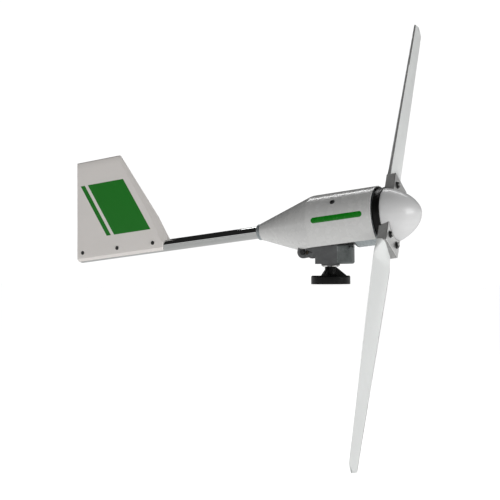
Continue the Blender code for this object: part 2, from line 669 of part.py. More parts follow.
def tilt_cradle():
    """Cast frame: the alternator's rear bell, a floor, a boom sleeve and the hinge lug."""
    half = FLOOR_HALF_WIDTH
    floor = box_mesh((FLOOR_REAR, -half, FLOOR[0]), (REAR_BELL[0] + 0.001, half, FLOOR[1]))
    cradle = place("tilt_cradle", floor, "grey_casting", NACELLE)

    low, high = REAR_BELL
    hub_end = SHAFT_BEARINGS[0] + BEARING_WIDTH
    step = BEARING_SEAT - 0.004
    points = [(0, low + 0.0025), (step, low + 0.0025), (step, SHAFT_BEARINGS[0] - GAP),
              (BEARING_SEAT, SHAFT_BEARINGS[0] - GAP), (BEARING_SEAT, hub_end), (BELL_HUB_RADIUS, hub_end),
              (BELL_HUB_RADIUS, high), (HOUSING_RADIUS, high), (HOUSING_RADIUS, low), (0, low)]
    join(cradle, "rear_bell", turned_mesh(points, 32), NACELLE, ALONG_X)

    lug = [(HINGE.x - 0.012, FLOOR[1] - 0.002), *arc((HINGE.x, HINGE.z), LUG_RADIUS, pi, 2 * pi, 9),
           (HINGE.x + 0.020, FLOOR[1] - 0.002)]
    join(cradle, "hinge_lug", outline_mesh([lug], 2 * LUG_HALF_WIDTH), NACELLE, ACROSS)

    saddle = box_mesh((0, -SADDLE_HALF_WIDTH, FLOOR[1] - 0.003),
                      (SADDLE_THICKNESS, SADDLE_HALF_WIDTH, BOOM_RISE))
    ends = [at(SLEEVE[0] + 0.0007, 0, 0), at(SLEEVE[1] - SADDLE_THICKNESS - 0.0007, 0, 0)]
    join(cradle, "saddles", copies(saddle, ends), NACELLE)
    sleeve = rod_mesh(SLEEVE_RADIUS, SLEEVE[0], SLEEVE[1], TURNED_STEPS)
    join(cradle, "boom_sleeve", sleeve, NACELLE, at(0, 0, BOOM_RISE) @ ALONG_X)

    # two arms behind the bell carry the posts that the hood's screws enter
    inner, outer = ARM_RADII
    arm = box_mesh((ARM_REAR, -POST_RADIUS, inner), (REAR_BELL[0] + 0.001, POST_RADIUS, outer - 0.004))
    post = rod_mesh(POST_RADIUS - 0.0005, inner + 0.001, SHELL_RADIUS - SHELL_WALL - 0.0008, 12)
    turns = hood_turns()
    join(cradle, "hood_arms", copies(arm, turns), NACELLE)
    join(cradle, "hood_posts", copies(post, [t @ at(SHELL_SCREW_AXIAL, 0, 0) for t in turns]), NACELLE)

    bore = rod_mesh(BOOM_RADIUS + GAP, SLEEVE[0] - CUT, SLEEVE[1] + CUT, 28)
    cut(cradle, "boom_bore", bore, NACELLE, at(0, 0, BOOM_RISE) @ ALONG_X)
    cut(cradle, "bush_bore", rod_mesh(BUSH_RADIUS + GAP, -half, half, 20), NACELLE,
        at(HINGE.x, 0, HINGE.z) @ ACROSS)
    hole = rod_mesh(SMALL_SCREW + GAP, 0.096, SHELL_RADIUS + CUT, 8)
    cut(cradle, "hood_screw_holes", copies(hole, [t @ at(SHELL_SCREW_AXIAL, 0, 0) for t in turns]), NACELLE)
    hole = rod_mesh(0.004 + GAP, -SLEEVE_RADIUS - CUT, SLEEVE_RADIUS + CUT, 12)
    cut(cradle, "boom_bolt_holes", copies(hole, [at(x, 0, BOOM_RISE) for x in BOOM_BOLTS]), NACELLE)


def hood_turns():
    """Turns about the rotor axis that carry +Z to each of the hood's screws."""
    return [Matrix.Rotation(s * (pi / 2 - SHELL_SCREW_ANGLE), 4, "X") for s in (1, -1)]


def hinge_bush():
    """Bush in the lug that turns on the hinge bolt."""
    bore = (HINGE_RADIUS + RUNNING_FIT) / cos(pi / TURNED_STEPS)
    points = ring_profile(bore, BUSH_RADIUS, -LUG_HALF_WIDTH, LUG_HALF_WIDTH)
    seat = at(HINGE.x, 0, HINGE.z) @ ACROSS
    turned("hinge_bush", points, TURNED_STEPS, "bronze", NACELLE, seat, closed=True)


def nacelle_shell():
    """Hood: a cylinder with a cone behind it, cut flat and open underneath."""
    outer = [(SHELL_RADIUS, SHELL_FRONT), (SHELL_RADIUS, SHELL_SHOULDER), (SHELL_NECK_RADIUS, SHELL_NECK)]
    inner = [(radius - SHELL_WALL, height) for radius, height in reversed(outer)]
    mesh = turned_mesh(outer + inner, 48, closed=True)
    hood = bmesh.new()
    hood.from_mesh(mesh)
    bmesh.ops.transform(hood, matrix=ALONG_X, verts=hood.verts)
    for corner in hood.verts:
        behind = SHELL_SHOULDER - corner.co.x
        if behind > 0:
            corner.co.z += SHELL_NECK_RISE * behind / (SHELL_SHOULDER - SHELL_NECK)
    hood.to_mesh(mesh)
    hood.free()
    shell = place("nacelle_shell", mesh, "white_paint", NACELLE)
    reach = SHELL_RADIUS + 0.01
    below = box_mesh((SHELL_NECK - 0.01, -reach, -reach), (SHELL_FRONT + 0.01, reach, SHELL_CUT))
    cut(shell, "hood_opening", below, NACELLE)
    notch, half = HINGE_NOTCH
    cut(shell, "hinge_notch", rod_mesh(notch, -half, half, 24), NACELLE, at(HINGE.x, 0, HINGE.z) @ ACROSS)
    turns = hood_turns()
    hole = rod_mesh(SMALL_SCREW + GAP, SHELL_RADIUS - 0.01, SHELL_RADIUS + 0.01, 8)
    cut(shell, "hood_holes", copies(hole, [t @ at(SHELL_SCREW_AXIAL, 0, 0) for t in turns]), NACELLE)
    screw = pan_screw(0.0042, 0.0022, SMALL_SCREW, 0.016)
    seats = [t @ at(SHELL_SCREW_AXIAL, 0, SHELL_RADIUS + GAP) for t in turns]
    place_each("hood_screw", screw, seats, "dark_steel", NACELLE)


def alternator():
    """Alternator casing and front bell, and the cable that leaves the rear bell."""
    turned("alternator_housing", ring_profile(HOUSING_BORE, HOUSING_RADIUS, *HOUSING), 36, "light_casting",
           NACELLE, ALONG_X, closed=True)
    low, high = FRONT_BELL
    start = SHAFT_BEARINGS[1] - 0.0005
    seat_end = SHAFT_BEARINGS[1] + BEARING_WIDTH + GAP
    lip = 0.0145
    points = [(HOUSING_RADIUS, high), (HOUSING_RADIUS, low), (BELL_HUB_RADIUS, low), (BELL_HUB_RADIUS, start),
              (BEARING_SEAT, start), (BEARING_SEAT, seat_end), (lip, seat_end), (lip, high)]
    turned("alternator_front_bell", points, 32, "light_casting", NACELLE, ALONG_X, closed=True)
    path = [(0.100, 0.028, -0.036), (0.080, 0.024, -0.050), (0.050, 0.016, -0.0575),
            (-0.020, 0.012, -0.0575), (-0.036, 0.012, -0.0575)]
    place("alternator_cable", wire_mesh([path], 0.0035), "rubber", NACELLE)


def stator():
    """Slotted stator core and its winding: a bar in each slot and a ring at each end."""
    inner = []
    tooth = 2 * pi / SLOTS
    for i in range(SLOTS):
        for side in (-1, 1):
            edge = i * tooth + side * (tooth / 2)
            mouth = edge - side * SLOT_WIDTH / 2 / CORE_BORE
            floor = edge - side * SLOT_WIDTH / 2 / SLOT_RADIUS
            corner = [(CORE_BORE, mouth), (SLOT_RADIUS, floor)]
            for radius, angle in (corner[::-1] if side < 0 else corner):
                inner.append((radius * cos(angle), radius * sin(angle)))
    core = outline_mesh([circle(CORE_RADIUS, 36), inner], CORE[1] - CORE[0])
    place("stator_core", core, "laminations", NACELLE, at((CORE[0] + CORE[1]) / 2, 0, 0) @ ALONG_X)
    low, high = 0.0725, SLOT_RADIUS - 0.0012
    half = SLOT_WIDTH / 2 - 0.0007
    overhang = 0.0015
    end_ring = 0.005
    bar = box_mesh((low, -half, CORE[0] - overhang - end_ring / 2),
                   (high, half, CORE[1] + overhang + end_ring / 2))
    bars = copies(bar, [Matrix.Rotation((i + 0.5) * tooth, 4, "Z") for i in range(SLOTS)])
    ring = ring_profile(low - 0.0015, high + 0.0025, 0, end_ring)
    winding = turned("stator_winding", [(radius, CORE[1] + overhang + height) for radius, height in ring], 36,
                     "copper", NACELLE, ALONG_X, closed=True)
    rear_ring = turned_mesh([(radius, CORE[0] - overhang - end_ring + height) for radius, height in ring], 36,
                            closed=True)
    join(winding, "slot_bars", bars, NACELLE, ALONG_X)
    join(winding, "rear_end_ring", rear_ring, NACELLE, ALONG_X)


def tail_boom():
    """Boom tube, its bolts, end plug and the collar that holds the hood's neck."""
    boom = turned("tail_boom", ring_profile(BOOM_RADIUS - BOOM_WALL, BOOM_RADIUS, BOOM_REAR, BOOM_FRONT), 28,
                  "stainless", NACELLE, at(0, 0, BOOM_RISE) @ ALONG_X, closed=True)
    hole = rod_mesh(0.004 + GAP, -2 * BOOM_RADIUS, 2 * BOOM_RADIUS, 12)
    cut(boom, "boom_holes", copies(hole, [at(x, 0, BOOM_RISE) for x in BOOM_BOLTS]), NACELLE)
    hole = rod_mesh(VANE_SCREW_RADIUS + GAP, -2 * BOOM_RADIUS, 2 * BOOM_RADIUS, 8)
    cut(boom, "boom_vane_holes", copies(hole, [at(x, 0, VANE_SCREW_RISE) @ ACROSS for x in VANE_SCREWS]),
        NACELLE)
    bolt = hex_bolt(0.0075, 0.0053, 0.004, 2 * SLEEVE_RADIUS + 0.004)
    top = BOOM_RISE + SLEEVE_RADIUS + GAP
    place_each("boom_bolt", bolt, [at(x, 0, top) for x in BOOM_BOLTS], "zinc", NACELLE)
    low, high, radius = COLLAR
    bore = BOOM_RADIUS + GAP
    tip, spigot = COLLAR_SPIGOT
    points = [(spigot, tip), (spigot, high), (radius, high), (radius, low + 0.0015), (radius - 0.0015, low),
              (bore, low), (bore, tip)]
    turned("boom_collar", points, 32, "grey_casting", NACELLE, at(0, 0, BOOM_RISE) @ ALONG_X, closed=True)
    plug = BOOM_RADIUS - BOOM_WALL - GAP
    inside, end = BOOM_REAR + 0.0033, BOOM_REAR - 0.0023
    rim = BOOM_RADIUS - 0.001
    points = [(0, inside), (plug, inside), (plug, BOOM_REAR - GAP), (rim, BOOM_REAR - GAP), (rim, end),
              (0, end)]
    turned("boom_end_plug", points, 20, "rubber", NACELLE, at(0, 0, BOOM_RISE) @ ALONG_X)


# Vane levels, bottom to top: height, rear, front, nose length, half thickness
VANE_LEVELS = (
    (-0.0165, -1.174, -0.744, 0.012, 0.018),
    (0.0000, -1.182, -0.729, 0.024, 0.028),
    (0.0340, -1.179, -0.719, 0.025, 0.0266),
    (0.1100, -1.172, -0.752, 0.017, 0.0226),
    (0.1500, -1.169, -0.771, 0.010, 0.0206),
    (0.4000, -1.149, -0.915, 0.008, 0.0080),
    (0.4120, -1.149, -0.923, 0.005, 0.0040),
)


def vane_ring(level, side):
    """Half of the vane's outline at one level, from the rear seam to the nose seam."""
    height, rear, front, nose, half = level
    seam = side * VANE_SEAM
    points = [(rear, seam), (rear, side * half * 0.7), (rear + half * 0.3, side * half)]
    for angle in (pi / 2, pi / 3, pi / 6):
        points.append((front - nose * (1 - cos(angle)), side * max(half * sin(angle), VANE_SEAM)))
    points.append((front, seam))
    return [Vector((x, y, height)) for x, y in points]


def vane_half(name, side):
    """One moulded half of the hollow tail vane, closed at top and bottom, open at the seam."""
    rows = [vane_ring(level, side) for level in VANE_LEVELS]
    skin = bmesh.new()
    grid = [[skin.verts.new(corner) for corner in row] for row in rows]
    for lower, upper in zip(grid, grid[1:]):
        for i in range(len(lower) - 1):
            skin.faces.new((lower[i], lower[i + 1], upper[i + 1], upper[i]))
    skin.faces.new(grid[0])
    skin.faces.new(grid[-1])
    bmesh.ops.recalc_face_normals(skin, faces=skin.faces)
    middle = Vector((-0.95, 0, 0.2))
    outward = sum((face.normal.dot(face.calc_center_median() - middle) * face.calc_area())
                  for face in skin.faces)
    if outward < 0:
        bmesh.ops.reverse_faces(skin, faces=skin.faces)
    mesh = bpy.data.meshes.new(name)
    skin.to_mesh(mesh)
    skin.free()
    half = place(name, mesh, "vane_paint", NACELLE)
    wall = half.modifiers.new("wall", "SOLIDIFY")
    wall.thickness = VANE_WALL
    wall.offset = -1
    wall.use_even_offset = True
    # the seam's edges of the wall are trimmed flat, so that the halves meet
    across = sorted((-side * 0.05, side * VANE_SEAM))
    trim = box_mesh((BOOM_REAR - 0.1, across[0], -0.1), (-0.6, across[1], 0.5))
    cut(half, name + "_trim", trim, NACELLE)
    channel = rod_mesh(BOOM_RADIUS + 2 * GAP, BOOM_REAR - 0.0027, -0.68, 24)
    cut(half, name + "_boom_channel", channel, NACELLE, at(0, 0, BOOM_RISE) @ ALONG_X)
    hole = rod_mesh(VANE_SCREW_RADIUS + GAP, -0.05, 0.05, 8)
    cut(half, name + "_holes", copies(hole, [at(x, 0, VANE_SCREW_RISE) @ ACROSS for x in VANE_SCREWS]),
        NACELLE)


def vane_screws():
    """Three screws that clamp both halves of the vane onto the boom."""
    seat = 0.0278
    screw = hex_bolt(0.0055, 0.0035, VANE_SCREW_RADIUS, 2 * seat - 0.002)
    seats = [at(x, 0, VANE_SCREW_RISE) @ ACROSS @ at(0, 0, seat) for x in VANE_SCREWS]
    place_each("vane_screw", screw, seats, "dark_steel", NACELLE)


# ---------------------------------------------------------------- rotor

def rotor_shaft():
    """Main shaft, magnet drum and magnets, back plate and hub nut."""
    points = [(0, SHAFT_NOSE), (SHAFT_RADIUS - 0.001, SHAFT_NOSE), (SHAFT_RADIUS, SHAFT_NOSE - 0.001),
              (SHAFT_RADIUS, SHAFT_REAR), (0, SHAFT_REAR)]
    turned("main_shaft", points, 24, "steel", ROTOR, ALONG_X)
    bore = SHAFT_RADIUS + GAP
    low, high = CORE
    web = DRUM_WEB
    inside = DRUM_RADIUS - DRUM_WALL
    points = [(DRUM_RADIUS, high), (DRUM_RADIUS, low), (inside, low), (inside, web[0]), (DRUM_HUB, web[0]),
              (DRUM_HUB, low), (bore, low), (bore, high), (DRUM_HUB, high), (DRUM_HUB, web[1]),
              (inside, web[1]), (inside, high)]
    turned("magnet_drum", points, 28, "laminations", ROTOR, ALONG_X, closed=True)
    inner, outer = MAGNET_RING
    turned("magnet_ring", ring_profile(inner, outer, low + 0.001, high - 0.001), 28, "magnet", ROTOR, ALONG_X,
           closed=True)
    back, front = BACKPLATE
    lip_low, lip_high, lip = BACKPLATE_LIP
    points = [(lip, lip_high), (lip, lip_low), (BACKPLATE_RADIUS, lip_low - 0.0006), (BACKPLATE_RADIUS, back),
              (bore, back), (bore, front), (BACKPLATE_RADIUS - 0.003, front),
              (BACKPLATE_RADIUS - 0.003, lip_high)]
    plate = turned("hub_backplate", points, 40, "black_casting", ROTOR, ALONG_X, closed=True)
    cut(plate, "backplate_notch", hub_clearance(), ROTOR)
    low, high, radius = HUB_NUT
    place("hub_nut", hex_nut(radius, bore, high - low), "zinc", ROTOR, at(low, 0, 0) @ ALONG_X)


def hub_clearance():
    """The space of the hub bar, which the spinner and the back plate's lip leave free."""
    half = HUB_HALF_WIDTH + 0.0008
    return box_mesh((BACKPLATE[1] + GAP, -half, -2 * HUB_REACH), (HUB[1] + 0.0008, half, 2 * HUB_REACH))


def pocket_turns():
    """The two blade frames: +Z out along each blade, pitched about it."""
    return [Matrix.Rotation(i * pi, 4, "X") for i in range(2)]


def blade_hub():
    """Cast hub bar with a pitched pocket in each end for a blade root."""
    half = HUB_HALF_WIDTH
    bar = box_mesh((HUB[0], -half, -HUB_REACH), (HUB[1], half, HUB_REACH))
    hub = place("blade_hub", bar, "light_casting", ROTOR)
    wide = ROOT_WIDTH / 2 + GAP
    thick = ROOT_THICKNESS / 2 + GAP
    pocket = box_mesh((-thick, -wide, HUB_REACH - POCKET_DEPTH), (thick, wide, HUB_REACH + CUT))
    pitched = at(ROOT_AXIAL, 0, 0) @ Matrix.Rotation(ROOT_PITCH, 4, "Z")
    cut(hub, "root_pockets", copies(pocket, [turn @ pitched for turn in pocket_turns()]), ROTOR)
    cut(hub, "hub_bore", rod_mesh(SHAFT_RADIUS + GAP, HUB[0] - CUT, HUB[1] + CUT, 24), ROTOR, ALONG_X)
    hole = rod_mesh(BLADE_BOLT_RADIUS + GAP, HUB[0] - CUT, HUB[1] + CUT, 12)
    cut(hub, "blade_bolt_holes", copies(hole, [seat @ ALONG_X for seat in blade_bolt_seats()]), ROTOR)


def blade_bolt_seats():
    pair = [at(0, s * BLADE_BOLT_OFFSET, BLADE_BOLT_RADIAL) for s in (1, -1)]
    return [turn @ seat for turn in pocket_turns() for seat in pair]


def blade_bolts():
    """Four bolts that pass each blade root and thread into the hub's rear wall."""
    bolt = hex_bolt(0.0085, 0.0078, BLADE_BOLT_RADIUS, HUB[1] - HUB[0] - 0.001)
    seats = [seat @ ALONG_X @ at(0, 0, HUB[1] + GAP) for seat in blade_bolt_seats()]
    place_each("blade_bolt", bolt, seats, "dark_steel", ROTOR)


# Places along the chord, leading edge to trailing edge, and along the blade
CHORD_STEPS = (0, 0.03, 0.11, 0.28, 0.50, 0.75, 1.0)
ROOT_END = HUB_REACH - POCKET_DEPTH + GAP
BLADE_STATIONS = (ROOT_END, HUB_REACH, AIRFOIL_START, 0.32, 0.46, 0.60, 0.74, 0.88, ROTOR_RADIUS)


def airfoil(step):
    """Half thickness of a unit section at a place along its chord."""
    return 5 * SECTION_THICKNESS * (0.2969 * sqrt(step) - 0.1260 * step - 0.3516 * step ** 2
                                    + 0.2843 * step ** 3 - 0.1036 * step ** 4)


def between(pair, share):
    return pair[0] + (pair[1] - pair[0]) * share


def tip_reach(step):
    """How far the tip runs past the rotor's radius at a place along its chord: a shallow peak."""
    for (start, low), (end, high) in zip(TIP_REACH, TIP_REACH[1:]):
        if step <= end:
            return between((low, high), (step - start) / (end - start))


def blade_section(radial):
    """One closed section: an aerofoil, or inside the hub a box."""
    outward = max(0.0, (radial - AIRFOIL_START) / (ROTOR_RADIUS - AIRFOIL_START))
    shaped = min(1.0, max(0.0, (radial - HUB_REACH) / (AIRFOIL_START - HUB_REACH)))
    chord = between((ROOT_CHORD, TIP_CHORD), outward)
    turn = Matrix.Rotation(between((ROOT_PITCH, TIP_PITCH), outward), 4, "Z")
    axial = between((ROOT_AXIAL, between(CHORD_AXIAL, outward)), shaped)
    offset = between(CHORD_OFFSET, outward) * shaped
    wide = between((ROOT_WIDTH, chord), shaped)
    back = [(step, -1) for step in CHORD_STEPS]
    face = [(step, 1) for step in reversed(CHORD_STEPS[1:])]
    ring = []
    for step, side in back + face:
        curved = (FACE_SHARE if side > 0 else -BACK_SHARE) * airfoil(step) * chord
        flat = side * ROOT_THICKNESS / 2 * (0.72 if step in (0, 1.0) else 0.98)
        where = turn @ Vector((between((flat, curved), shaped), wide * (step - 0.5), 0))
        reach = radial + (tip_reach(step) if radial == ROTOR_RADIUS else 0)
        ring.append(Vector((where.x + axial, where.y + offset, reach)))
    return ring


def blade(name, turn):
    """One blade, running up +Z, with its leading edge on -Y and the wind on its +X face."""
    rings = [blade_section(radial) for radial in reversed(BLADE_STATIONS)]
    made = place(name, loft_mesh(name, rings), "blade_plastic", ROTOR, turn)
    solid = bmesh.new()
    solid.from_mesh(made.data)
    bmesh.ops.recalc_face_normals(solid, faces=solid.faces)
    solid.to_mesh(made.data)
    solid.free()
    hole = rod_mesh(BLADE_BOLT_RADIUS + GAP, HUB[0], HUB[1], 12)
    pair = [at(0, s * BLADE_BOLT_OFFSET, BLADE_BOLT_RADIAL) @ ALONG_X for s in (1, -1)]
    cut(made, name + "_holes", copies(hole, pair), ROTOR, turn)


def spinner_radius(axial):
    """The spinner's outer radius between its rim and its nose."""
    along = (axial - SPINNER_RIM) / (SPINNER_NOSE - SPINNER_RIM)
    return SPINNER_RADIUS * (1 - along ** 1.5) ** 0.55


def spinner():
    """Nose cone, a thin shell with a notch for each arm of the hub bar."""
    count = 7
    length = SPINNER_NOSE - SPINNER_RIM
    places = [SPINNER_RIM + length * sin(pi / 2 * i / count) for i in range(count + 1)]
    outer = [(spinner_radius(axial), axial) for axial in places]
    scale = 1 - SPINNER_WALL / SPINNER_RADIUS
    inner = [(radius * scale, SPINNER_RIM + (axial - SPINNER_RIM) * (1 - SPINNER_WALL / length))
             for radius, axial in outer[:-1]]
    nose = [(0, SPINNER_NOSE)]
    points = nose + outer[-2::-1] + inner + [(0, SPINNER_NOSE - SPINNER_WALL)]
    made = turned("spinner", points, 32, "white_paint", ROTOR, ALONG_X)
    cut(made, "spinner_notch", spinner_notch(), ROTOR)


def spinner_notch():
    half = HUB_HALF_WIDTH + 0.0008
    low, high = SPINNER_RIM - 0.01, HUB[1] + 0.0008
    return box_mesh((low, -half, -2 * HUB_REACH), (high, half, 2 * HUB_REACH))


base_flange()
yaw_shaft()
yaw_housing()
bearing("yaw_bearing_lower", YAW_BEARINGS[0], YAW_AXIS, None)
bearing("yaw_bearing_upper", YAW_BEARINGS[1], YAW_AXIS, None)
bearing_cap()
dust_cap()
brush_housing()
brush_gear()
hinge_pin()
tilt_cradle()
hinge_bush()
nacelle_shell()
alternator()
stator()
bearing("shaft_bearing_rear", SHAFT_BEARINGS[0], NACELLE, ALONG_X)
bearing("shaft_bearing_front", SHAFT_BEARINGS[1], NACELLE, ALONG_X)
tail_boom()
vane_half("tail_vane_left", 1)
vane_half("tail_vane_right", -1)
vane_screws()
rotor_shaft()
blade_hub()
blade_bolts()
for number, blade_turn in enumerate(pocket_turns(), start=1):
    blade(f"blade_{number}", blade_turn)
spinner()
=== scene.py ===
"""The looks of a small two-blade wind turbine with a tail vane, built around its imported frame.

Metres, +Z up. Nacelle pieces are made in the nacelle's own frame (X along the rotor axis towards
the nose, Z away from the mast) and rotor pieces in the rotor's, with one blade along +Z.
"""

import json
import bmesh
import bpy
import numpy as np
from math import atan2, cos, pi, radians, sin, sqrt, tan
from mathutils import Matrix, Vector


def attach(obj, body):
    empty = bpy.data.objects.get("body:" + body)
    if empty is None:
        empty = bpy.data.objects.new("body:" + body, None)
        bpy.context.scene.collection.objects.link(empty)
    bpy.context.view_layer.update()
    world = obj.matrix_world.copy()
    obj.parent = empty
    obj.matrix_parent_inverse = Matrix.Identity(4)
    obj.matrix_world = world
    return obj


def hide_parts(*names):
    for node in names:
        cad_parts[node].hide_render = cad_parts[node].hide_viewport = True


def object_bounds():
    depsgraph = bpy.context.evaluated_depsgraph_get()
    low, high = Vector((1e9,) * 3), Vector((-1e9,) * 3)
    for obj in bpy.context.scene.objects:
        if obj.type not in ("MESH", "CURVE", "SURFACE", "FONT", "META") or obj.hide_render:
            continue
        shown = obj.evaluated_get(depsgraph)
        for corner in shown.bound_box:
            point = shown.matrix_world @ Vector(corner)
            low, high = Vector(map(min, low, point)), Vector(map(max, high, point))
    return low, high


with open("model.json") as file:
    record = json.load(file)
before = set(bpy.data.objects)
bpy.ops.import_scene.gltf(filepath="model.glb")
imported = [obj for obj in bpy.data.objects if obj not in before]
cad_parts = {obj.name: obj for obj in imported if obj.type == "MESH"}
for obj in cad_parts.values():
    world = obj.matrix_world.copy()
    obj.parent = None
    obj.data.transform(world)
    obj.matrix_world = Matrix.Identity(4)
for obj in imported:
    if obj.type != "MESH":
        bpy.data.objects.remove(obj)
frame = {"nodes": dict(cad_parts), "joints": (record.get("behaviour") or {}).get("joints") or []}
CAD_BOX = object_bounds()
NODES = frame["nodes"]
JOINTS = {joint["name"]: joint for joint in frame["joints"]}

ROUND_STEPS = 128               # sides of a large turned surface
SMALL_STEPS = 48                # and of a small one
EDGE = 0.0008                   # a machined edge's rounding
CAST_EDGE = 0.0016              # a casting's
SHAFT_HOLE = 0.0128             # radius of the hub's hole for the rotor shaft
SHADE_STRIP_WIDTH = 0.0075             # of the dark strip of painted shade on a blade's leading edge
ROOT_INSET = 0.13               # share of its chord that a blade's root is narrower by
GUSSET_ANGLE = radians(28)      # of the flange's first gusset, from +X

ALONG_X = Matrix.Rotation(pi / 2, 4, "Y")
ACROSS = Matrix.Rotation(pi / 2, 4, "X")


# ---------------------------------------------------------------- the frame's places

def points_in(node, matrix=Matrix()):
    """A CAD node's corners in a frame, as an array."""
    corners = np.array([corner.co for corner in NODES[node].data.vertices], float)
    inverse = np.array(matrix.inverted())
    return corners @ inverse[:3, :3].T + inverse[:3, 3]


def box_in(node, matrix=Matrix()):
    """A CAD node's lowest and highest corner in a frame."""
    corners = points_in(node, matrix)
    return Vector(corners.min(0)), Vector(corners.max(0))


def middle(node, matrix=Matrix()):
    low, high = box_in(node, matrix)
    return (low + high) / 2


def axes_at(origin, along, side):
    """A frame with X along one direction, Y along another, at an origin."""
    turn = Matrix((along, side, along.cross(side))).transposed()
    return Matrix.Translation(origin) @ turn.to_4x4()


def at(x, y, z):
    return Matrix.Translation((x, y, z))


HUB_POINT = Vector(JOINTS["spin"]["pos_m"])
ROTOR_AXIS = Vector(JOINTS["spin"]["axis"]).normalized()
TILT_POINT = Vector(JOINTS["tilt"]["pos_m"])
SIDE = -Vector(JOINTS["tilt"]["axis"]).normalized()
NACELLE = axes_at(HUB_POINT, ROTOR_AXIS, SIDE)

blade_way = Vector(points_in("blade_bolt_1").mean(0) + points_in("blade_bolt_2").mean(0)) / 2 - HUB_POINT
blade_way = (blade_way - blade_way.dot(ROTOR_AXIS) * ROTOR_AXIS).normalized()
ROTOR = axes_at(HUB_POINT, ROTOR_AXIS, blade_way.cross(ROTOR_AXIS))
HALF_TURN = Matrix.Rotation(pi, 4, "X")
BLADE_FRAMES = (ROTOR, ROTOR @ HALF_TURN)


# ---------------------------------------------------------------- materials

class Nodes:
    """Short names for the shader nodes that the finishes are made of."""

    def __init__(self, name, matrix=Matrix()):
        self.material = bpy.data.materials.new(name)
        self.material.use_nodes = True
        self.tree = self.material.node_tree
        self.shader = self.tree.nodes["Principled BSDF"]
        coordinates = self.tree.nodes.new("ShaderNodeTexCoord").outputs["Object"]
        mapping = self.tree.nodes.new("ShaderNodeMapping")
        self.tree.links.new(coordinates, mapping.inputs["Vector"])
        inverse = matrix.inverted()
        mapping.inputs["Location"].default_value = inverse.translation
        mapping.inputs["Rotation"].default_value = inverse.to_euler()
        self.place = mapping.outputs[0]

    def link(self, value, socket):
        if isinstance(value, (int, float)):
            socket.default_value = value
        elif isinstance(value, tuple):
            socket.default_value = (*value, 1.0)
        else:
            self.tree.links.new(value, socket)

    def math(self, operation, first, second=0.0):
        node = self.tree.nodes.new("ShaderNodeMath")
        node.operation = operation
        self.link(first, node.inputs[0])
        self.link(second, node.inputs[1])
        return node.outputs[0]

    def axes(self):
        split = self.tree.nodes.new("ShaderNodeSeparateXYZ")
        self.link(self.place, split.inputs[0])
        return split.outputs

    def stretched(self, x, y, z):
        """The coordinates scaled unevenly, for brushed or drawn surfaces."""
        mapping = self.tree.nodes.new("ShaderNodeMapping")
        self.link(self.place, mapping.inputs["Vector"])
        mapping.inputs["Scale"].default_value = (x, y, z)
        return mapping.outputs[0]

    def noise(self, scale, detail=4.0, roughness=0.55, place=None):
        node = self.tree.nodes.new("ShaderNodeTexNoise")
        self.link(place or self.place, node.inputs["Vector"])
        node.inputs["Scale"].default_value = scale
        node.inputs["Detail"].default_value = detail
        node.inputs["Roughness"].default_value = roughness
        return node.outputs["Fac"]

    def ramp(self, value, low, high, start=0.0, end=1.0):
        """Map a value from low..high to start..end, held at the ends."""
        node = self.tree.nodes.new("ShaderNodeMapRange")
        self.link(value, node.inputs["Value"])
        for key, number in (("From Min", low), ("From Max", high), ("To Min", start), ("To Max", end)):
            node.inputs[key].default_value = number
        return node.outputs[0]

    def mix(self, share, first, second):
        node = self.tree.nodes.new("ShaderNodeMix")
        node.data_type = "RGBA"
        self.link(share, node.inputs["Factor"])
        self.link(first, node.inputs["A"])
        self.link(second, node.inputs["B"])
        return node.outputs["Result"]

    def bump(self, height, strength, distance):
        node = self.tree.nodes.new("ShaderNodeBump")
        node.inputs["Strength"].default_value = strength
        node.inputs["Distance"].default_value = distance
        self.link(height, node.inputs["Height"])
        self.link(node.outputs[0], self.shader.inputs["Normal"])

    def pointiness(self):
        return self.tree.nodes.new("ShaderNodeNewGeometry").outputs["Pointiness"]

    def set(self, colour, roughness, metallic=0.0, coat=0.0, specular=0.5):
        self.link(colour, self.shader.inputs["Base Color"])
        self.link(roughness, self.shader.inputs["Roughness"])
        self.link(metallic, self.shader.inputs["Metallic"])
        self.shader.inputs["Coat Weight"].default_value = coat
        self.shader.inputs["Coat Roughness"].default_value = 0.08
        self.shader.inputs["Specular IOR Level"].default_value = specular
        return self.material


def scaled(colour, share):
    return tuple(channel * share for channel in colour)


def painted(name, colour, roughness, coat=0.0, field=None):
    """Sprayed paint: faint orange peel, a little dust, and optionally a plain coloured field."""
    nodes = Nodes(name, NACELLE)
    dust = nodes.ramp(nodes.noise(9.0, 6.0, 0.6), 0.45, 0.75)
    base = nodes.mix(nodes.math("MULTIPLY", dust, 0.20), colour, scaled(colour, 0.90))
    fleck = nodes.ramp(nodes.noise(1300.0, 2.0), 0.66, 0.74, 0.0, 0.25)
    base = nodes.mix(fleck, base, scaled(colour, 0.7))
    if field:
        mask, tint = field(nodes)
        base = nodes.mix(mask, base, tint)
    nodes.bump(nodes.noise(420.0, 2.0, 0.4), 0.12, 0.0004)
    rough = nodes.ramp(nodes.noise(35.0, 5.0), 0.3, 0.7, roughness * 0.85, roughness * 1.2)
    return nodes.set(base, rough, 0.0, coat)


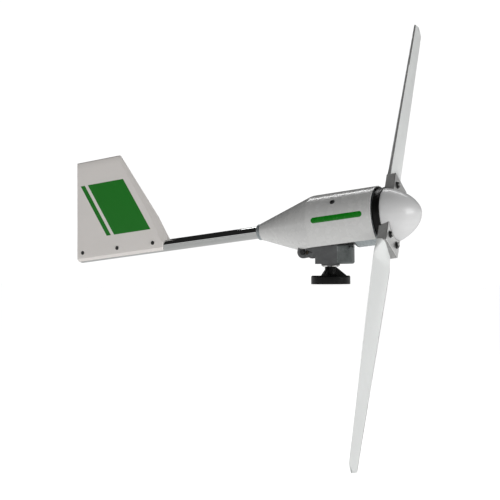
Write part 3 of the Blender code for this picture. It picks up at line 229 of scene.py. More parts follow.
def cast(name, colour, roughness, metallic, wear, grain=650.0, depth=0.0006, specular=0.5):
    """A casting, painted or bare: sand grain, mottled tone, and paler worn edges."""
    nodes = Nodes(name)
    mottle = nodes.ramp(nodes.noise(55.0, 6.0, 0.65), 0.3, 0.7)
    base = nodes.mix(mottle, scaled(colour, 0.82), scaled(colour, 1.15))
    speck = nodes.ramp(nodes.noise(grain * 1.8, 2.0), 0.56, 0.66, 0.0, 0.4)
    base = nodes.mix(speck, base, scaled(colour, 0.6))
    edge = nodes.ramp(nodes.pointiness(), 0.54, 0.62, 0.0, 0.7)
    scuffs = nodes.ramp(nodes.noise(120.0, 5.0, 0.7), 0.45, 0.6)
    base = nodes.mix(nodes.math("MULTIPLY", edge, scuffs), base, wear)
    nodes.bump(nodes.noise(grain, 5.0, 0.65), 0.45, depth)
    rough = nodes.ramp(nodes.noise(90.0, 4.0), 0.3, 0.7, roughness * 0.85, roughness * 1.15)
    return nodes.set(base, rough, metallic, specular=specular)


def machined(name, colour, roughness, lay=(1.0, 1.0, 1.0), depth=0.00006, stain=0.75, matrix=Matrix()):
    """Bare turned, drawn or plated metal, with fine lines along its lay and faint stains."""
    nodes = Nodes(name, matrix)
    stains = nodes.ramp(nodes.noise(28.0, 6.0, 0.6), 0.45, 0.8, 0.0, 0.5)
    base = nodes.mix(stains, colour, scaled(colour, stain))
    lines = nodes.noise(1500.0, 3.0, 0.6, nodes.stretched(*lay))
    nodes.bump(lines, 0.2, depth)
    rough = nodes.ramp(nodes.noise(160.0, 4.0), 0.3, 0.7, roughness * 0.8, roughness * 1.3)
    return nodes.set(base, rough, 1.0)


def moulded(name, colour, roughness, grain=900.0, depth=0.0003):
    """Rubber, carbon or resin: fine grain and a greyed bloom."""
    nodes = Nodes(name)
    bloom = nodes.ramp(nodes.noise(40.0, 5.0), 0.4, 0.75, 0.0, 0.5)
    base = nodes.mix(bloom, colour, tuple(channel * 0.85 + 0.02 for channel in colour))
    nodes.bump(nodes.noise(grain, 4.0), 0.35, depth)
    rough = nodes.ramp(nodes.noise(70.0, 3.0), 0.3, 0.7, roughness * 0.9, min(1.0, roughness * 1.1))
    return nodes.set(base, rough)


def laminated(name, colour, roughness, pitch, axis):
    """Stacked sheets or wound wire: bands across one axis."""
    nodes = Nodes(name, NACELLE)
    wave = nodes.math("SINE", nodes.math("MULTIPLY", nodes.axes()[axis], 2 * pi / pitch))
    base = nodes.mix(nodes.ramp(wave, -0.2, 0.6), scaled(colour, 0.45), colour)
    base = nodes.mix(nodes.ramp(nodes.noise(60.0), 0.4, 0.7, 0.0, 0.4), base, scaled(colour, 0.7))
    nodes.bump(wave, 0.5, pitch / 4)
    return nodes.set(base, roughness, 0.85)


GREEN = (0.0, 0.19, 0.003)


def hood_band(nodes):
    """A plain green band with round ends on each side of the hood."""
    x, _, z = nodes.axes()
    along = nodes.math("ABSOLUTE", nodes.math("SUBTRACT", x, 0.073))
    past = nodes.math("MAXIMUM", nodes.math("SUBTRACT", along, 0.090), 0.0)
    above = nodes.math("SUBTRACT", z, 0.0115)
    reach = nodes.math("SQRT", nodes.math("ADD", nodes.math("MULTIPLY", past, past),
                                          nodes.math("MULTIPLY", above, above)))
    return nodes.ramp(reach, 0.0105, 0.0110, 1.0, 0.0), GREEN


def vane_field(nodes):
    """A wide and a narrow plain green bar, slanting as the vane's leading edge does."""
    x, _, z = nodes.axes()
    slanted = nodes.math("ADD", x, nodes.math("MULTIPLY", z, 0.5355))
    level = nodes.math("ABSOLUTE", nodes.math("SUBTRACT", z, 0.195))
    inside = nodes.ramp(level, 0.1140, 0.1145, 1.0, 0.0)

    def bar(centre, half):
        away = nodes.math("ABSOLUTE", nodes.math("SUBTRACT", slanted, centre))
        return nodes.ramp(away, half - 0.0003, half + 0.0003, 1.0, 0.0)

    bars = nodes.math("ADD", bar(-0.838, 0.092), bar(-0.957, 0.011))
    return nodes.math("MULTIPLY", bars, inside), GREEN


def boom_steel(name):
    """Polished drawn tube: long faint lines along it, and a slight haze."""
    nodes = Nodes(name, NACELLE)
    lines = nodes.noise(900.0, 3.0, 0.6, nodes.stretched(0.01, 1.0, 1.0))
    nodes.bump(lines, 0.06, 0.00004)
    haze = nodes.ramp(nodes.noise(14.0, 6.0), 0.4, 0.8, 0.04, 0.09)
    return nodes.set((0.62, 0.63, 0.62), haze, 1.0)


FINISH = {
    "black_casting": cast("black_casting", (0.005, 0.005, 0.005), 0.36, 0.0, (0.06, 0.06, 0.06),
                          specular=0.22),
    "grey_casting": cast("grey_casting", (0.115, 0.118, 0.120), 0.45, 0.15, (0.36, 0.36, 0.36)),
    "brush_housing_grey": cast("brush_housing_grey", (0.16, 0.175, 0.172), 0.32, 0.6,
                               (0.45, 0.46, 0.46), depth=0.0003),
    "light_casting": cast("light_casting", (0.42, 0.46, 0.47), 0.42, 0.6, (0.7, 0.7, 0.7)),
    "hub_casting": cast("hub_casting", (0.33, 0.33, 0.325), 0.5, 0.1, (0.5, 0.5, 0.5), 500.0, 0.0008),
    "white_paint": painted("white_paint", (0.62, 0.62, 0.61), 0.26, 0.3, hood_band),
    "spinner_white": painted("spinner_white", (0.62, 0.62, 0.62), 0.36, 0.2),
    "vane_paint": painted("vane_paint", (0.80, 0.765, 0.735), 0.42, 0.05, vane_field),
    "blade_white": painted("blade_white", (0.76, 0.775, 0.765), 0.36, 0.1),
    "stainless": boom_steel("stainless"),
    "shaft_steel": machined("shaft_steel", (0.50, 0.50, 0.51), 0.25, (1.0, 1.0, 0.02)),
    "bearing_steel": machined("bearing_steel", (0.55, 0.55, 0.56), 0.22, (0.02, 1.0, 1.0)),
    "zinc_hardware": machined("zinc_hardware", (0.78, 0.77, 0.72), 0.22),
    "dark_steel": machined("dark_steel", (0.055, 0.055, 0.055), 0.32, stain=0.5),
    "laminations": laminated("laminations", (0.28, 0.28, 0.29), 0.5, 0.0007, 0),
    "magnet": machined("magnet", (0.45, 0.46, 0.50), 0.25, (1.0, 0.05, 0.05)),
    "slip_ring_copper": machined("slip_ring_copper", (0.74, 0.36, 0.20), 0.25, (0.02, 0.02, 1.0)),
    "winding_copper": laminated("winding_copper", (0.62, 0.24, 0.10), 0.35, 0.0011, 1),
    "bronze": machined("bronze", (0.34, 0.24, 0.11), 0.45),
    "carbon": moulded("carbon", (0.02, 0.02, 0.02), 0.6),
    "insulator": moulded("insulator", (0.30, 0.12, 0.05), 0.45),
    "cable_rubber": moulded("cable_rubber", (0.015, 0.015, 0.015), 0.55),
    "seal_rubber": moulded("seal_rubber", (0.02, 0.02, 0.02), 0.7),
}
# Near-white finish for the hub's front faces: painted light, the lit face of the grey hub casting.
PAINTED_LIT_FACE = machined("painted_lit_face", (0.86, 0.86, 0.85), 0.38, (1.0, 0.03, 1.0), 0.0001, 0.9, ROTOR)
# A dark grey strip on each blade's leading edge: painted shade where the nose turns from the light.
LEADING_EDGE_SHADE = painted("leading_edge_shade", (0.16, 0.16, 0.16), 0.4)
# Paler finish for the tops of the blade bolts' heads: a painted highlight.
BOLT_TOP_HIGHLIGHT = machined("bolt_face", (0.42, 0.42, 0.41), 0.3)


# ---------------------------------------------------------------- mesh tools

def finished(name, solid):
    """A mesh from a bmesh, its faces turned outward."""
    bmesh.ops.recalc_face_normals(solid, faces=solid.faces)
    mesh = bpy.data.meshes.new(name)
    solid.to_mesh(mesh)
    solid.free()
    return mesh


def rounded(corners, closed=True, steps=5):
    """An outline of (x, y) or (x, y, radius) corners, with an arc at each that has a radius."""
    made = []
    count = len(corners)
    for i, corner in enumerate(corners):
        here = Vector(corner[:2])
        if len(corner) == 2 or (not closed and i in (0, count - 1)):
            made.append(here)
            continue
        before = (Vector(corners[i - 1][:2]) - here).normalized()
        after = (Vector(corners[(i + 1) % count][:2]) - here).normalized()
        half = before.angle(after) / 2
        centre = here + (before + after).normalized() * (corner[2] / sin(half))
        reach = corner[2] / tan(half)
        start = here + before * reach - centre
        end = here + after * reach - centre
        sweep = atan2(start.x * end.y - start.y * end.x, start.dot(end))
        made += [centre + Matrix.Rotation(sweep * k / steps, 2) @ start for k in range(steps + 1)]
    return made


def turned(profile, steps=ROUND_STEPS, closed=True):
    """A surface of revolution about Z from (radius, height) points; radius 0 is a pole."""
    solid = bmesh.new()
    rings = []
    for radius, height in profile:
        if radius < 1e-7:
            rings.append([solid.verts.new((0, 0, height))])
            continue
        rings.append([solid.verts.new((radius * cos(2 * pi * i / steps), radius * sin(2 * pi * i / steps),
                                       height)) for i in range(steps)])
    pairs = list(zip(rings, rings[1:]))
    if closed:
        pairs.append((rings[-1], rings[0]))
    for first, second in pairs:
        for i in range(steps):
            j = (i + 1) % steps
            corners = [first[i % len(first)], first[j % len(first)], second[j % len(second)],
                       second[i % len(second)]]
            corners = [c for k, c in enumerate(corners) if c is not corners[k - 1]]
            if len(corners) > 2:
                solid.faces.new(corners)
    return finished("turned", solid)


def plate(outline, low, high):
    """A flat outline extruded along Z between two heights."""
    solid = bmesh.new()
    rows = [[solid.verts.new((x, y, z)) for x, y in outline] for z in (low, high)]
    for i in range(len(outline)):
        j = (i + 1) % len(outline)
        solid.faces.new((rows[0][i], rows[0][j], rows[1][j], rows[1][i]))
    solid.faces.new(reversed(rows[0]))
    solid.faces.new(rows[1])
    return finished("plate", solid)


def lofted(rings, caps=True):
    """Skin between rings that have equal numbers of points."""
    solid = bmesh.new()
    rows = [[solid.verts.new(corner) for corner in ring] for ring in rings]
    for upper, lower in zip(rows, rows[1:]):
        for i in range(len(upper)):
            j = (i + 1) % len(upper)
            solid.faces.new((upper[i], lower[i], lower[j], upper[j]))
    if caps:
        solid.faces.new(rows[0])
        solid.faces.new(reversed(rows[-1]))
    return finished("loft", solid)


def block(low, high):
    """A box between two corners, as a tool or a bar."""
    x, y, z = low
    return plate([(x, y), (high[0], y), (high[0], high[1]), (x, high[1])], z, high[2])


def rod(radius, low, high, steps=SMALL_STEPS):
    return turned([(0, low), (radius, low), (radius, high), (0, high)], steps, closed=False)


def moved(mesh, matrix):
    copy = mesh.copy()
    copy.transform(matrix)
    return copy


def carved(mesh, tools, operation="DIFFERENCE"):
    """The mesh after a Boolean with each tool, all in one frame."""
    body = bpy.data.objects.new("carved", mesh)
    bpy.context.scene.collection.objects.link(body)
    helpers = []
    for tool in tools:
        helper = bpy.data.objects.new("tool", tool)
        bpy.context.scene.collection.objects.link(helper)
        helpers.append(helper)
        modifier = body.modifiers.new("tool", "BOOLEAN")
        modifier.operation = operation
        modifier.solver = "EXACT"
        modifier.object = helper
    bpy.context.view_layer.update()
    graph = bpy.context.evaluated_depsgraph_get()
    result = bpy.data.meshes.new_from_object(body.evaluated_get(graph))
    for done in (body, *helpers):
        bpy.data.objects.remove(done)
    result.materials.clear()
    return result


def piece(name, mesh, body, slot, matrix=Matrix(), stands_for=(), edge=0.0, sharp=34, material=None,
          second=None):
    """Show a mesh as a piece that rides on a body and stands for CAD nodes."""
    made = bpy.data.objects.new(name, mesh)
    bpy.context.scene.collection.objects.link(made)
    mesh.transform(matrix)
    mesh.materials.append(material or FINISH[slot])
    if second:
        mesh.materials.append(second)
    mesh.shade_smooth()
    mesh.set_sharp_from_angle(angle=radians(sharp))
    if edge:
        bevel = made.modifiers.new("edges", "BEVEL")
        bevel.width = edge
        bevel.segments = 3
        bevel.limit_method = "ANGLE"
        bevel.angle_limit = radians(30)
        bevel.harden_normals = True
    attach(made, body)
    if stands_for:
        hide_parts(*stands_for)
    return made


# ---------------------------------------------------------------- fasteners

def hexagon_ring(across, height, corner=0.12):
    """A hexagon with slightly rounded corners, as 24 points."""
    ring = []
    for i in range(6):
        for turn in (-0.30, -0.10, 0.10, 0.30):
            angle = (i + turn) * pi / 3
            flat = across / cos(turn * pi / 3 - (pi / 6 if turn > 0 else -pi / 6))
            reach = min(flat, across / cos(pi / 6) * (1 - corner / 4))
            ring.append(Vector((cos(angle), sin(angle), 0)) * reach + Vector((0, 0, height)))
    return ring


def hexagon_head(across, height, chamfer=0.14):
    """A hexagon head on z = 0: chamfered top with a shallow dished face."""
    top = across * (1 - chamfer)
    rings = [hexagon_ring(across, 0.0003), hexagon_ring(across, height * 0.82)]
    for radius, level in ((top * 1.03, height * 0.97), (top, height), (top * 0.72, height),
                          (top * 0.66, height * 0.94), (top * 0.2, height * 0.92)):
        angles = [i * pi / 12 - 0.30 * pi / 3 for i in range(24)]
        rings.append([Vector((radius * cos(a), radius * sin(a), level)) for a in angles])
    return lofted(rings)


def washer(radius, bore, thickness):
    rim = thickness * 0.3
    return turned(rounded([(bore, 0), (radius, 0, rim), (radius, thickness, rim), (bore, thickness)]))


def socket_screw(radius, height):
    """A round head on z = 0 with a hexagon socket in it."""
    head = turned(rounded([(0, 0), (radius, 0), (radius, height * 0.5), (radius * 0.86, height, height * 0.4),
                           (0, height)], closed=False), SMALL_STEPS, closed=False)
    socket = lofted([hexagon_ring(radius * 0.45, height * 0.25), hexagon_ring(radius * 0.45, height * 1.5)])
    return carved(head, [socket])


def bolt(name, body, slot, seat, across, height, disc, node, top_highlight_finish=None):
    """A hexagon bolt and its washer, standing for a CAD bolt; its top face may get a paler finish as a
    painted highlight.
    """
    thick = 0.0018
    piece(name + "_washer", washer(disc, across * 0.6, thick), body, slot, seat)
    head = hexagon_head(across, height)
    # The head's top faces take the second finish, which on the blade bolts is a painted highlight.
    for face in head.polygons:
        if face.center.z > height * 0.9:
            face.material_index = 1
    piece(name + "_head", head, body, slot, seat @ at(0, 0, thick), (node,), sharp=25,
          second=top_highlight_finish or FINISH[slot])


# ---------------------------------------------------------------- mast base

def mast_flange():
    """Cast flange: disc, neck with fillet, three gussets, tapped holes and wire holes."""
    shape = points_in("base_flange")
    away = np.hypot(shape[:, 0], shape[:, 1])
    radius, neck_top = away.max(), shape[:, 2].max()
    thickness = shape[away > 0.9 * radius, 2].max()
    neck = away[shape[:, 2] > neck_top - 0.0005].max()
    bore = box_in("yaw_shaft")[1].x + 0.0003
    floor = 0.19 * neck_top
    profile = rounded([(0, floor), (bore, floor), (bore, neck_top, 0.0004), (neck, neck_top, 0.0015),
                       (neck, thickness, 0.006), (radius, thickness, 0.0062), (radius, 0, 0.0016), (0, 0)],
                      closed=False, steps=6)
    body = turned(profile, closed=False)
    reach, foot, top = 0.80 * radius, thickness - 0.004, 0.95 * neck_top
    inner = (bore + neck) / 2
    web = moved(plate([(inner, foot), (reach, foot), (reach, thickness + 0.0015), (neck + 0.001, top),
                       (inner, top)], -0.0035, 0.0035), ACROSS)
    turns = [Matrix.Rotation(GUSSET_ANGLE + i * pi / 3, 4, "Z") for i in range(6)]
    body = carved(body, [moved(web, turn) for turn in turns[::2]], "UNION")
    tapped = rod(0.0040, -0.01, 0.55 * thickness, 24)
    wire = rod(0.0032, -0.01, floor + 0.01, 24)
    between = Matrix.Rotation(pi / 6, 4, "Z")
    holes = [moved(tapped, turn @ between @ at(0.764 * radius, 0, 0)) for turn in turns]
    holes += [moved(wire, Matrix.Rotation(pi / 3 + i * 2 * pi / 3, 4, "Z") @ at(0.0085, 0, 0))
              for i in range(3)]
    piece("mast_flange", carved(body, holes), "mast_base", "black_casting", Matrix(), ("base_flange",),
          edge=0.0011)


# ---------------------------------------------------------------- yaw head

def yaw_block():
    """Cast block with rounded rear corners and the two hinge cheeks with their windows."""
    low, high = box_in("yaw_housing")
    shape = points_in("yaw_housing")
    rear = shape[shape[:, 2] < low.z + 0.0005, 0].min()
    corner = 0.007
    plan = rounded([(high.x, low.y), (high.x, high.y), (rear, high.y, corner), (rear, low.y, corner)])
    body = plate(plan, low.z, high.z)
    hinge_x, hinge_z = TILT_POINT.x, TILT_POINT.z
    radius = hinge_x - low.x
    top, foot = high.z - 0.0012, rear + 0.008
    boss = [(hinge_x + radius * cos(a), hinge_z + radius * sin(a))
            for a in np.linspace(radians(62), radians(278), 40)]
    cheek = plate([(foot, top), *boss, (foot, low.z + 0.43 * (high.z - low.z))], -0.004, 0.004)
    middle_y = high.y - 0.0043
    cheeks = [moved(moved(cheek, ACROSS), at(0, s * middle_y, 0)) for s in (1, -1)]
    body = carved(body, cheeks, "UNION")
    window = plate(rounded([(hinge_x + 0.0120, hinge_z + 0.0080, 0.002),
                            (rear - 0.0045, hinge_z - 0.0020, 0.0015),
                            (hinge_x + 0.0050, hinge_z - 0.0140, 0.002)]), -0.1, 0.1)
    bore = rod(0.0063, -0.1, 0.1)
    well = rod(0.0236, 0.09, 0.2)
    tools = [moved(window, ACROSS), moved(moved(bore, ACROSS), at(hinge_x, 0, hinge_z)), well,
             rod(0.0212, 0.0, 0.2)]
    piece("yaw_block", carved(body, tools), "yaw_head", "grey_casting", Matrix(), ("yaw_housing",),
          edge=CAST_EDGE)


def brush_cover():
    """Round-nosed cover of the brushes: rounded bottom edge, a top rim and a rear parting lip."""
    low, high = box_in("brush_housing")
    half = high.y
    centre = high.x - half
    rear = low.x

    def plan(shrink):
        radius = half - shrink
        arc = [(centre + radius * cos(a), radius * sin(a)) for a in np.linspace(-pi / 2, pi / 2, 49)]
        return [(rear, -radius), *arc, (rear, radius)]

    rounding, brim = 0.0085, 0.0022
    rows = []
    for a in np.linspace(0, pi / 2, 9):
        rows.append((rounding * (1 - sin(a)), low.z + rounding * (1 - cos(a))))
    for a in np.linspace(0, pi / 2, 6):
        rows.append((brim * (1 - cos(a)), high.z - brim * (1 - sin(a))))
    mesh = lofted([[Vector((x, y, z)) for x, y in plan(shrink)] for shrink, z in rows])
    hollow = plate(plan(0.004), low.z + rounding, high.z - rounding)
    groove = carved(plate(plan(-0.01), high.z - 0.0135, high.z - 0.0125), [plate(plan(0.0007), 0, 1)])
    piece("brush_cover", carved(mesh, [moved(hollow, at(-0.002, 0, 0)), groove]), "yaw_head",
          "brush_housing_grey", Matrix(), ("brush_housing",), sharp=40)
    for number in (1, 2):
        node = f"brush_housing_screw_{number}"
        spot = middle(node)
        outward = Vector((spot.x - centre, spot.y, 0)).normalized()
        seat = Matrix.Translation(Vector((centre, 0, spot.z)) + outward * (half + 0.0002))
        seat = seat @ outward.to_track_quat("Z", "Y").to_matrix().to_4x4()
        piece(f"cover_screw_{number}", socket_screw(0.0028, 0.0017), "yaw_head", "dark_steel", seat, (node,))


def bearing_cover():
    """Turned cap under the block, with its four zinc-plated cap screws."""
    low, high = box_in("lower_bearing_cap")
    bottom = box_in("yaw_housing")[0].z - 0.0003
    bore = box_in("yaw_seal")[1].x + 0.0003
    spigot = 0.0229
    profile = rounded([(bore, low.z, 0.0005), (high.x, low.z, 0.0022), (high.x, bottom, 0.0005),
                       (spigot, bottom), (spigot, high.z), (bore, high.z)])
    piece("bearing_cover", turned(profile), "yaw_head", "grey_casting", Matrix(), ("lower_bearing_cap",))
    for number in range(1, 5):
        node = f"cap_screw_{number}"
        spot = middle(node)
        seat = at(spot.x, spot.y, low.z - 0.0001) @ Matrix.Rotation(pi, 4, "X")
        piece(f"cap_bolt_{number}", hexagon_head(0.0041, 0.0036), "yaw_head", "zinc_hardware", seat, (node,),
              sharp=25)


def hinge_hardware():
    """Tilt hinge bolt head and lock nut, each on a washer."""
    near, far = box_in("hinge_bolt")[0].y, box_in("hinge_nut")[1].y
    face = box_in("yaw_housing")[1].y
    centre = at(TILT_POINT.x, 0, TILT_POINT.z)
    shank = rod(0.0059, near + 0.006, far)
    piece("hinge_shank", moved(shank, Matrix.Rotation(-pi / 2, 4, "X")), "yaw_head", "shaft_steel", centre)
    bolt("hinge_bolt", "yaw_head", "dark_steel", centre @ ACROSS @ at(0, 0, face), 0.0094, 0.0066, 0.0118,
         "hinge_bolt")
    back = centre @ Matrix.Rotation(-pi / 2, 4, "X") @ at(0, 0, face)
    bolt("hinge_nut", "yaw_head", "zinc_hardware", back, 0.0094, 0.0080, 0.0118, "hinge_nut")


# ---------------------------------------------------------------- nacelle

def hood():
    """Thin shell: cylinder, soft shoulder, cone to the collar, rolled front lip, open below."""
    shape = points_in("nacelle_shell", NACELLE)
    away = np.hypot(shape[:, 1], shape[:, 2])
    radius = away.max()
    front, neck_x = shape[:, 0].max(), shape[:, 0].min()
    shoulder = shape[away > radius - 0.0005, 0].min()
    neck = shape[shape[:, 0] < neck_x + 0.0005]
    neck_radius = (neck[:, 2].max() - neck[:, 2].min()) / 2
    rise = (neck[:, 2].max() + neck[:, 2].min()) / 2
    floor = shape[:, 2].min()
    wall, lip = 0.003, 0.0005
    outer = [(radius + lip, front, 0.0012), (radius + lip, front - 0.0040, 0.001),
             (radius, front - 0.0052, 0.001), (radius, shoulder, 0.05), (neck_radius, neck_x, 0.001)]
    inner = [(neck_radius - wall, neck_x, 0.0008), (radius - wall, shoulder, 0.05),
             (radius - wall, front, 0.0012)]
    mesh = moved(turned(rounded(outer + inner, steps=8), 192), ALONG_X)
    for corner in mesh.vertices:
        behind = shoulder - corner.co.x
        if behind > 0:
            corner.co.z += rise * behind / (shoulder - neck_x)
    reach = radius + 0.02
    below = block((neck_x - 0.01, -reach, -reach), (front + 0.01, reach, floor))
    hinge = NACELLE.inverted() @ TILT_POINT
    notch = moved(rod(0.0265, -0.0475, 0.0475, 64), at(hinge.x, 0, hinge.z) @ ACROSS)
    piece("hood", carved(mesh, [below, notch]), "nacelle", "white_paint", NACELLE, ("nacelle_shell",),
          edge=0.0007, sharp=30)
    for number in (1, 2):
        node = f"hood_screw_{number}"
        spot = middle(node, NACELLE)
        outward = Vector((0, spot.y, spot.z)).normalized()
        seat = NACELLE @ Matrix.Translation(Vector((spot.x, 0, 0)) + outward * radius)
        seat = seat @ outward.to_track_quat("Z", "X").to_matrix().to_4x4()
        piece(f"hood_washer_{number}", washer(0.0098, 0.002, 0.0012), "nacelle", "seal_rubber", seat)
        piece(f"hood_fixing_{number}", socket_screw(0.0070, 0.0034), "nacelle", "dark_steel",
              seat @ at(0, 0, 0.0011), (node,))


def alternator_case():
    """Alternator casing with shallow cooling rings, and its front bell."""
    low, high = box_in("alternator_housing", NACELLE)
    radius, bore = high.z, 0.0906
    outer = []
    rings = 5
    land = (high.x - low.x) / (2 * rings + 1)
    for i in range(rings):
        start = low.x + land * (2 * i + 1)
        outer += [(radius, start, 0.0004), (radius - 0.0010, start, 0.0004),
                  (radius - 0.0010, start + land, 0.0004), (radius, start + land, 0.0004)]
    profile = rounded([(bore, low.x), (radius, low.x, 0.001), *outer, (radius, high.x, 0.001),
                       (bore, high.x)], steps=3)
    piece("alternator_case", moved(turned(profile), ALONG_X), "nacelle", "light_casting", NACELLE,
          ("alternator_housing",))
    low, high = box_in("alternator_front_bell", NACELLE)
    face = points_in("alternator_front_bell", NACELLE)
    rear = face[np.hypot(face[:, 1], face[:, 2]) > 0.9 * high.z, 0].min()
    hub, bore, lip = 0.030, 0.0236, 0.0145
    profile = rounded([(high.z, rear, 0.001), (high.z, high.x, 0.0015), (lip, high.x, 0.0005),
                       (lip, high.x - 0.004), (bore, high.x - 0.004), (bore, low.x), (hub, low.x),
                       (hub, rear)])
    piece("front_bell", moved(turned(profile), ALONG_X), "nacelle", "light_casting", NACELLE,
          ("alternator_front_bell",))


def boom():
    """Polished tube, its rubber plug, and the turned collar at the hood's neck."""
    low, high = box_in("tail_boom", NACELLE)
    axis = NACELLE @ at(0, 0, (low.z + high.z) / 2)
    radius = (high.z - low.z) / 2
    wall = 0.002
    tube = rounded([(radius - wall, low.x), (radius, low.x, 0.0006), (radius, high.x, 0.0006),
                    (radius - wall, high.x)])
    piece("boom_tube", moved(turned(tube), ALONG_X), "nacelle", "stainless", axis, ("tail_boom",))
    low, high = box_in("boom_end_plug", NACELLE)
    disc = (high.z - low.z) / 2
    seat = points_in("boom_end_plug", NACELLE)[:, 0]
    step = np.sort(np.unique(np.round(seat, 5)))[1]
    plug = rounded([(0, low.x), (disc, low.x, 0.0012), (disc, step, 0.0003), (radius - wall - 0.0003, step),
                    (radius - wall - 0.0003, high.x, 0.001), (0, high.x)], closed=False)
    piece("boom_plug", moved(turned(plug, closed=False), ALONG_X), "nacelle", "seal_rubber", axis,
          ("boom_end_plug",))
    low, high = box_in("boom_collar", NACELLE)
    outer = (high.z - low.z) / 2
    neck_x = box_in("nacelle_shell", NACELLE)[0].x
    step = neck_x - 0.0005
    groove = low.x + 0.55 * (step - low.x)
    bore, spigot = radius + 0.0003, 0.0293
    profile = rounded([(bore, low.x, 0.0004), (outer, low.x, 0.0022), (outer, groove, 0.0003),
                       (outer - 0.0012, groove + 0.0006), (outer - 0.0012, groove + 0.0016),
                       (outer, groove + 0.0022, 0.0003), (outer, step, 0.0008), (spigot, step),
                       (spigot, high.x), (bore, high.x)])
    piece("neck_collar", moved(turned(profile), ALONG_X), "nacelle", "light_casting", axis, ("boom_collar",))


# The vane from bottom to top: height, rear, front, chamfer length, half thickness
VANE_LEVELS = (
    (-0.0120, -1.1760, -0.738, 0.007, 0.0205),
    (-0.0100, -1.1775, -0.735, 0.007, 0.0220),
    (0.0000, -1.1815, -0.728, 0.008, 0.0276),
    (0.0200, -1.1800, -0.722, 0.012, 0.0270),
    (0.0340, -1.1790, -0.7195, 0.025, 0.0264),
    (0.1300, -1.1705, -0.7620, 0.0235, 0.0216),
    (0.4000, -1.1490, -0.9150, 0.0150, 0.0080),
    (0.4080, -1.1490, -0.9200, 0.0120, 0.0060),
    (0.4120, -1.1490, -0.9240, 0.0090, 0.0030),
)


def vane_half(side, name, node):
    """One moulded half: flat side, chamfered leading edge, narrow rear edge, chamfered rims."""
    seam = 0.0002
    table = np.array(VANE_LEVELS)
    levels = sorted({*table[:, 0], *np.linspace(table[2, 0], table[6, 0], 25)})
    rings = []
    for z in levels:
        rear, front, nose, half = (np.interp(z, table[:, 0], table[:, k]) for k in range(1, 5))
        corners = [(rear, seam), (rear, 0.55 * half, 0.15 * half), (rear + 0.35 * half, half, 0.1 * half),
                   (front - nose, half, 0.10 * half), (front - 0.22 * nose, 0.58 * half, 0.10 * half),
                   (front, 0.20 * half, 0.12 * half), (front, seam)]
        outline = rounded(corners, closed=False, steps=4)
        spread = [outline[10].lerp(outline[11], k / 24) for k in range(1, 24)]
        outline = outline[:11] + spread + outline[11:]
        rings.append([Vector((x, side * y, z)) for x, y in outline])
    solid = bmesh.new()
    rows = [[solid.verts.new(corner) for corner in ring] for ring in rings]
    for lower, upper in zip(rows, rows[1:]):
        for i in range(len(lower) - 1):
            solid.faces.new((lower[i], lower[i + 1], upper[i + 1], upper[i]))
    solid.faces.new(rows[0])
    solid.faces.new(rows[-1])
    mesh = finished("vane_half", solid)
    shell = bpy.data.objects.new("shell", mesh)
    bpy.context.scene.collection.objects.link(shell)
    middle_line = Vector((-0.95, 0, 0.2))
    outward = sum(face.normal.dot(face.center - middle_line) * face.area for face in mesh.polygons)
    wall = shell.modifiers.new("wall", "SOLIDIFY")
    wall.thickness = 0.0022
    wall.offset = -1 if outward > 0 else 1
    bpy.context.view_layer.update()
    graph = bpy.context.evaluated_depsgraph_get()
    mesh = bpy.data.meshes.new_from_object(shell.evaluated_get(graph))
    bpy.data.objects.remove(shell)
    boom_low, boom_high = box_in("tail_boom", NACELLE)
    radius = (boom_high.z - boom_low.z) / 2
    channel = moved(rod(radius + 0.0006, boom_low.x - 0.0026, -0.68, 96),
                    at(0, 0, boom_low.z + radius) @ ALONG_X)
    piece(name, carved(mesh, [channel]), "nacelle", "vane_paint", NACELLE, (node,), sharp=22)


def tail_vane():
    """Both halves and the three screws that clamp them on the boom."""
    vane_half(1, "vane_left", "tail_vane_left")
    vane_half(-1, "vane_right", "tail_vane_right")
    for number in (1, 2, 3):
        node = f"vane_screw_{number}"
        spot = middle(node, NACELLE)
        table = np.array(VANE_LEVELS)
        face = np.interp(spot.z, table[:, 0], table[:, 4])
        for side, turn in ((-1, ACROSS), (1, Matrix.Rotation(-pi / 2, 4, "X"))):
            seat = NACELLE @ at(spot.x, side * face, spot.z) @ turn
            stands = (node,) if side < 0 else ()
            end = "head" if side < 0 else "nut"
            piece(f"vane_washer_{number}_{end}", washer(0.0082, 0.002, 0.0008), "nacelle", "dark_steel", seat)
            piece(f"vane_screw_{number}_{end}", hexagon_head(0.0056, 0.0032), "nacelle", "dark_steel",
                  seat @ at(0, 0, 0.0007), stands, sharp=25)


# ---------------------------------------------------------------- rotor

def back_plate():
    """Black back plate with its raised lip, notched for the hub bar."""
    shape = points_in("hub_backplate", ROTOR)
    away = np.hypot(shape[:, 1], shape[:, 2])
    lip, front, back = away.max(), shape[:, 0].max(), shape[:, 0].min()
    radius = away[shape[:, 0] < back + 0.0005].max()
    hub_low, hub_high = box_in("blade_hub", ROTOR)
    web = hub_low.x - 0.0003
    bore = 0.013
    profile = rounded([(bore, back), (radius, back, 0.003), (radius, web + 0.002),
                       (lip, web + 0.0034, 0.0005), (lip, front, 0.0008), (radius - 0.003, front),
                       (radius - 0.003, web, 0.001), (bore, web)])
    half = hub_high.y + 0.0008
    bar = block((web, -half, hub_low.z), (0.3, half, hub_high.z))
    piece("back_plate", carved(moved(turned(profile, 160), ALONG_X), [bar]), "rotor", "black_casting", ROTOR,
          ("hub_backplate",))


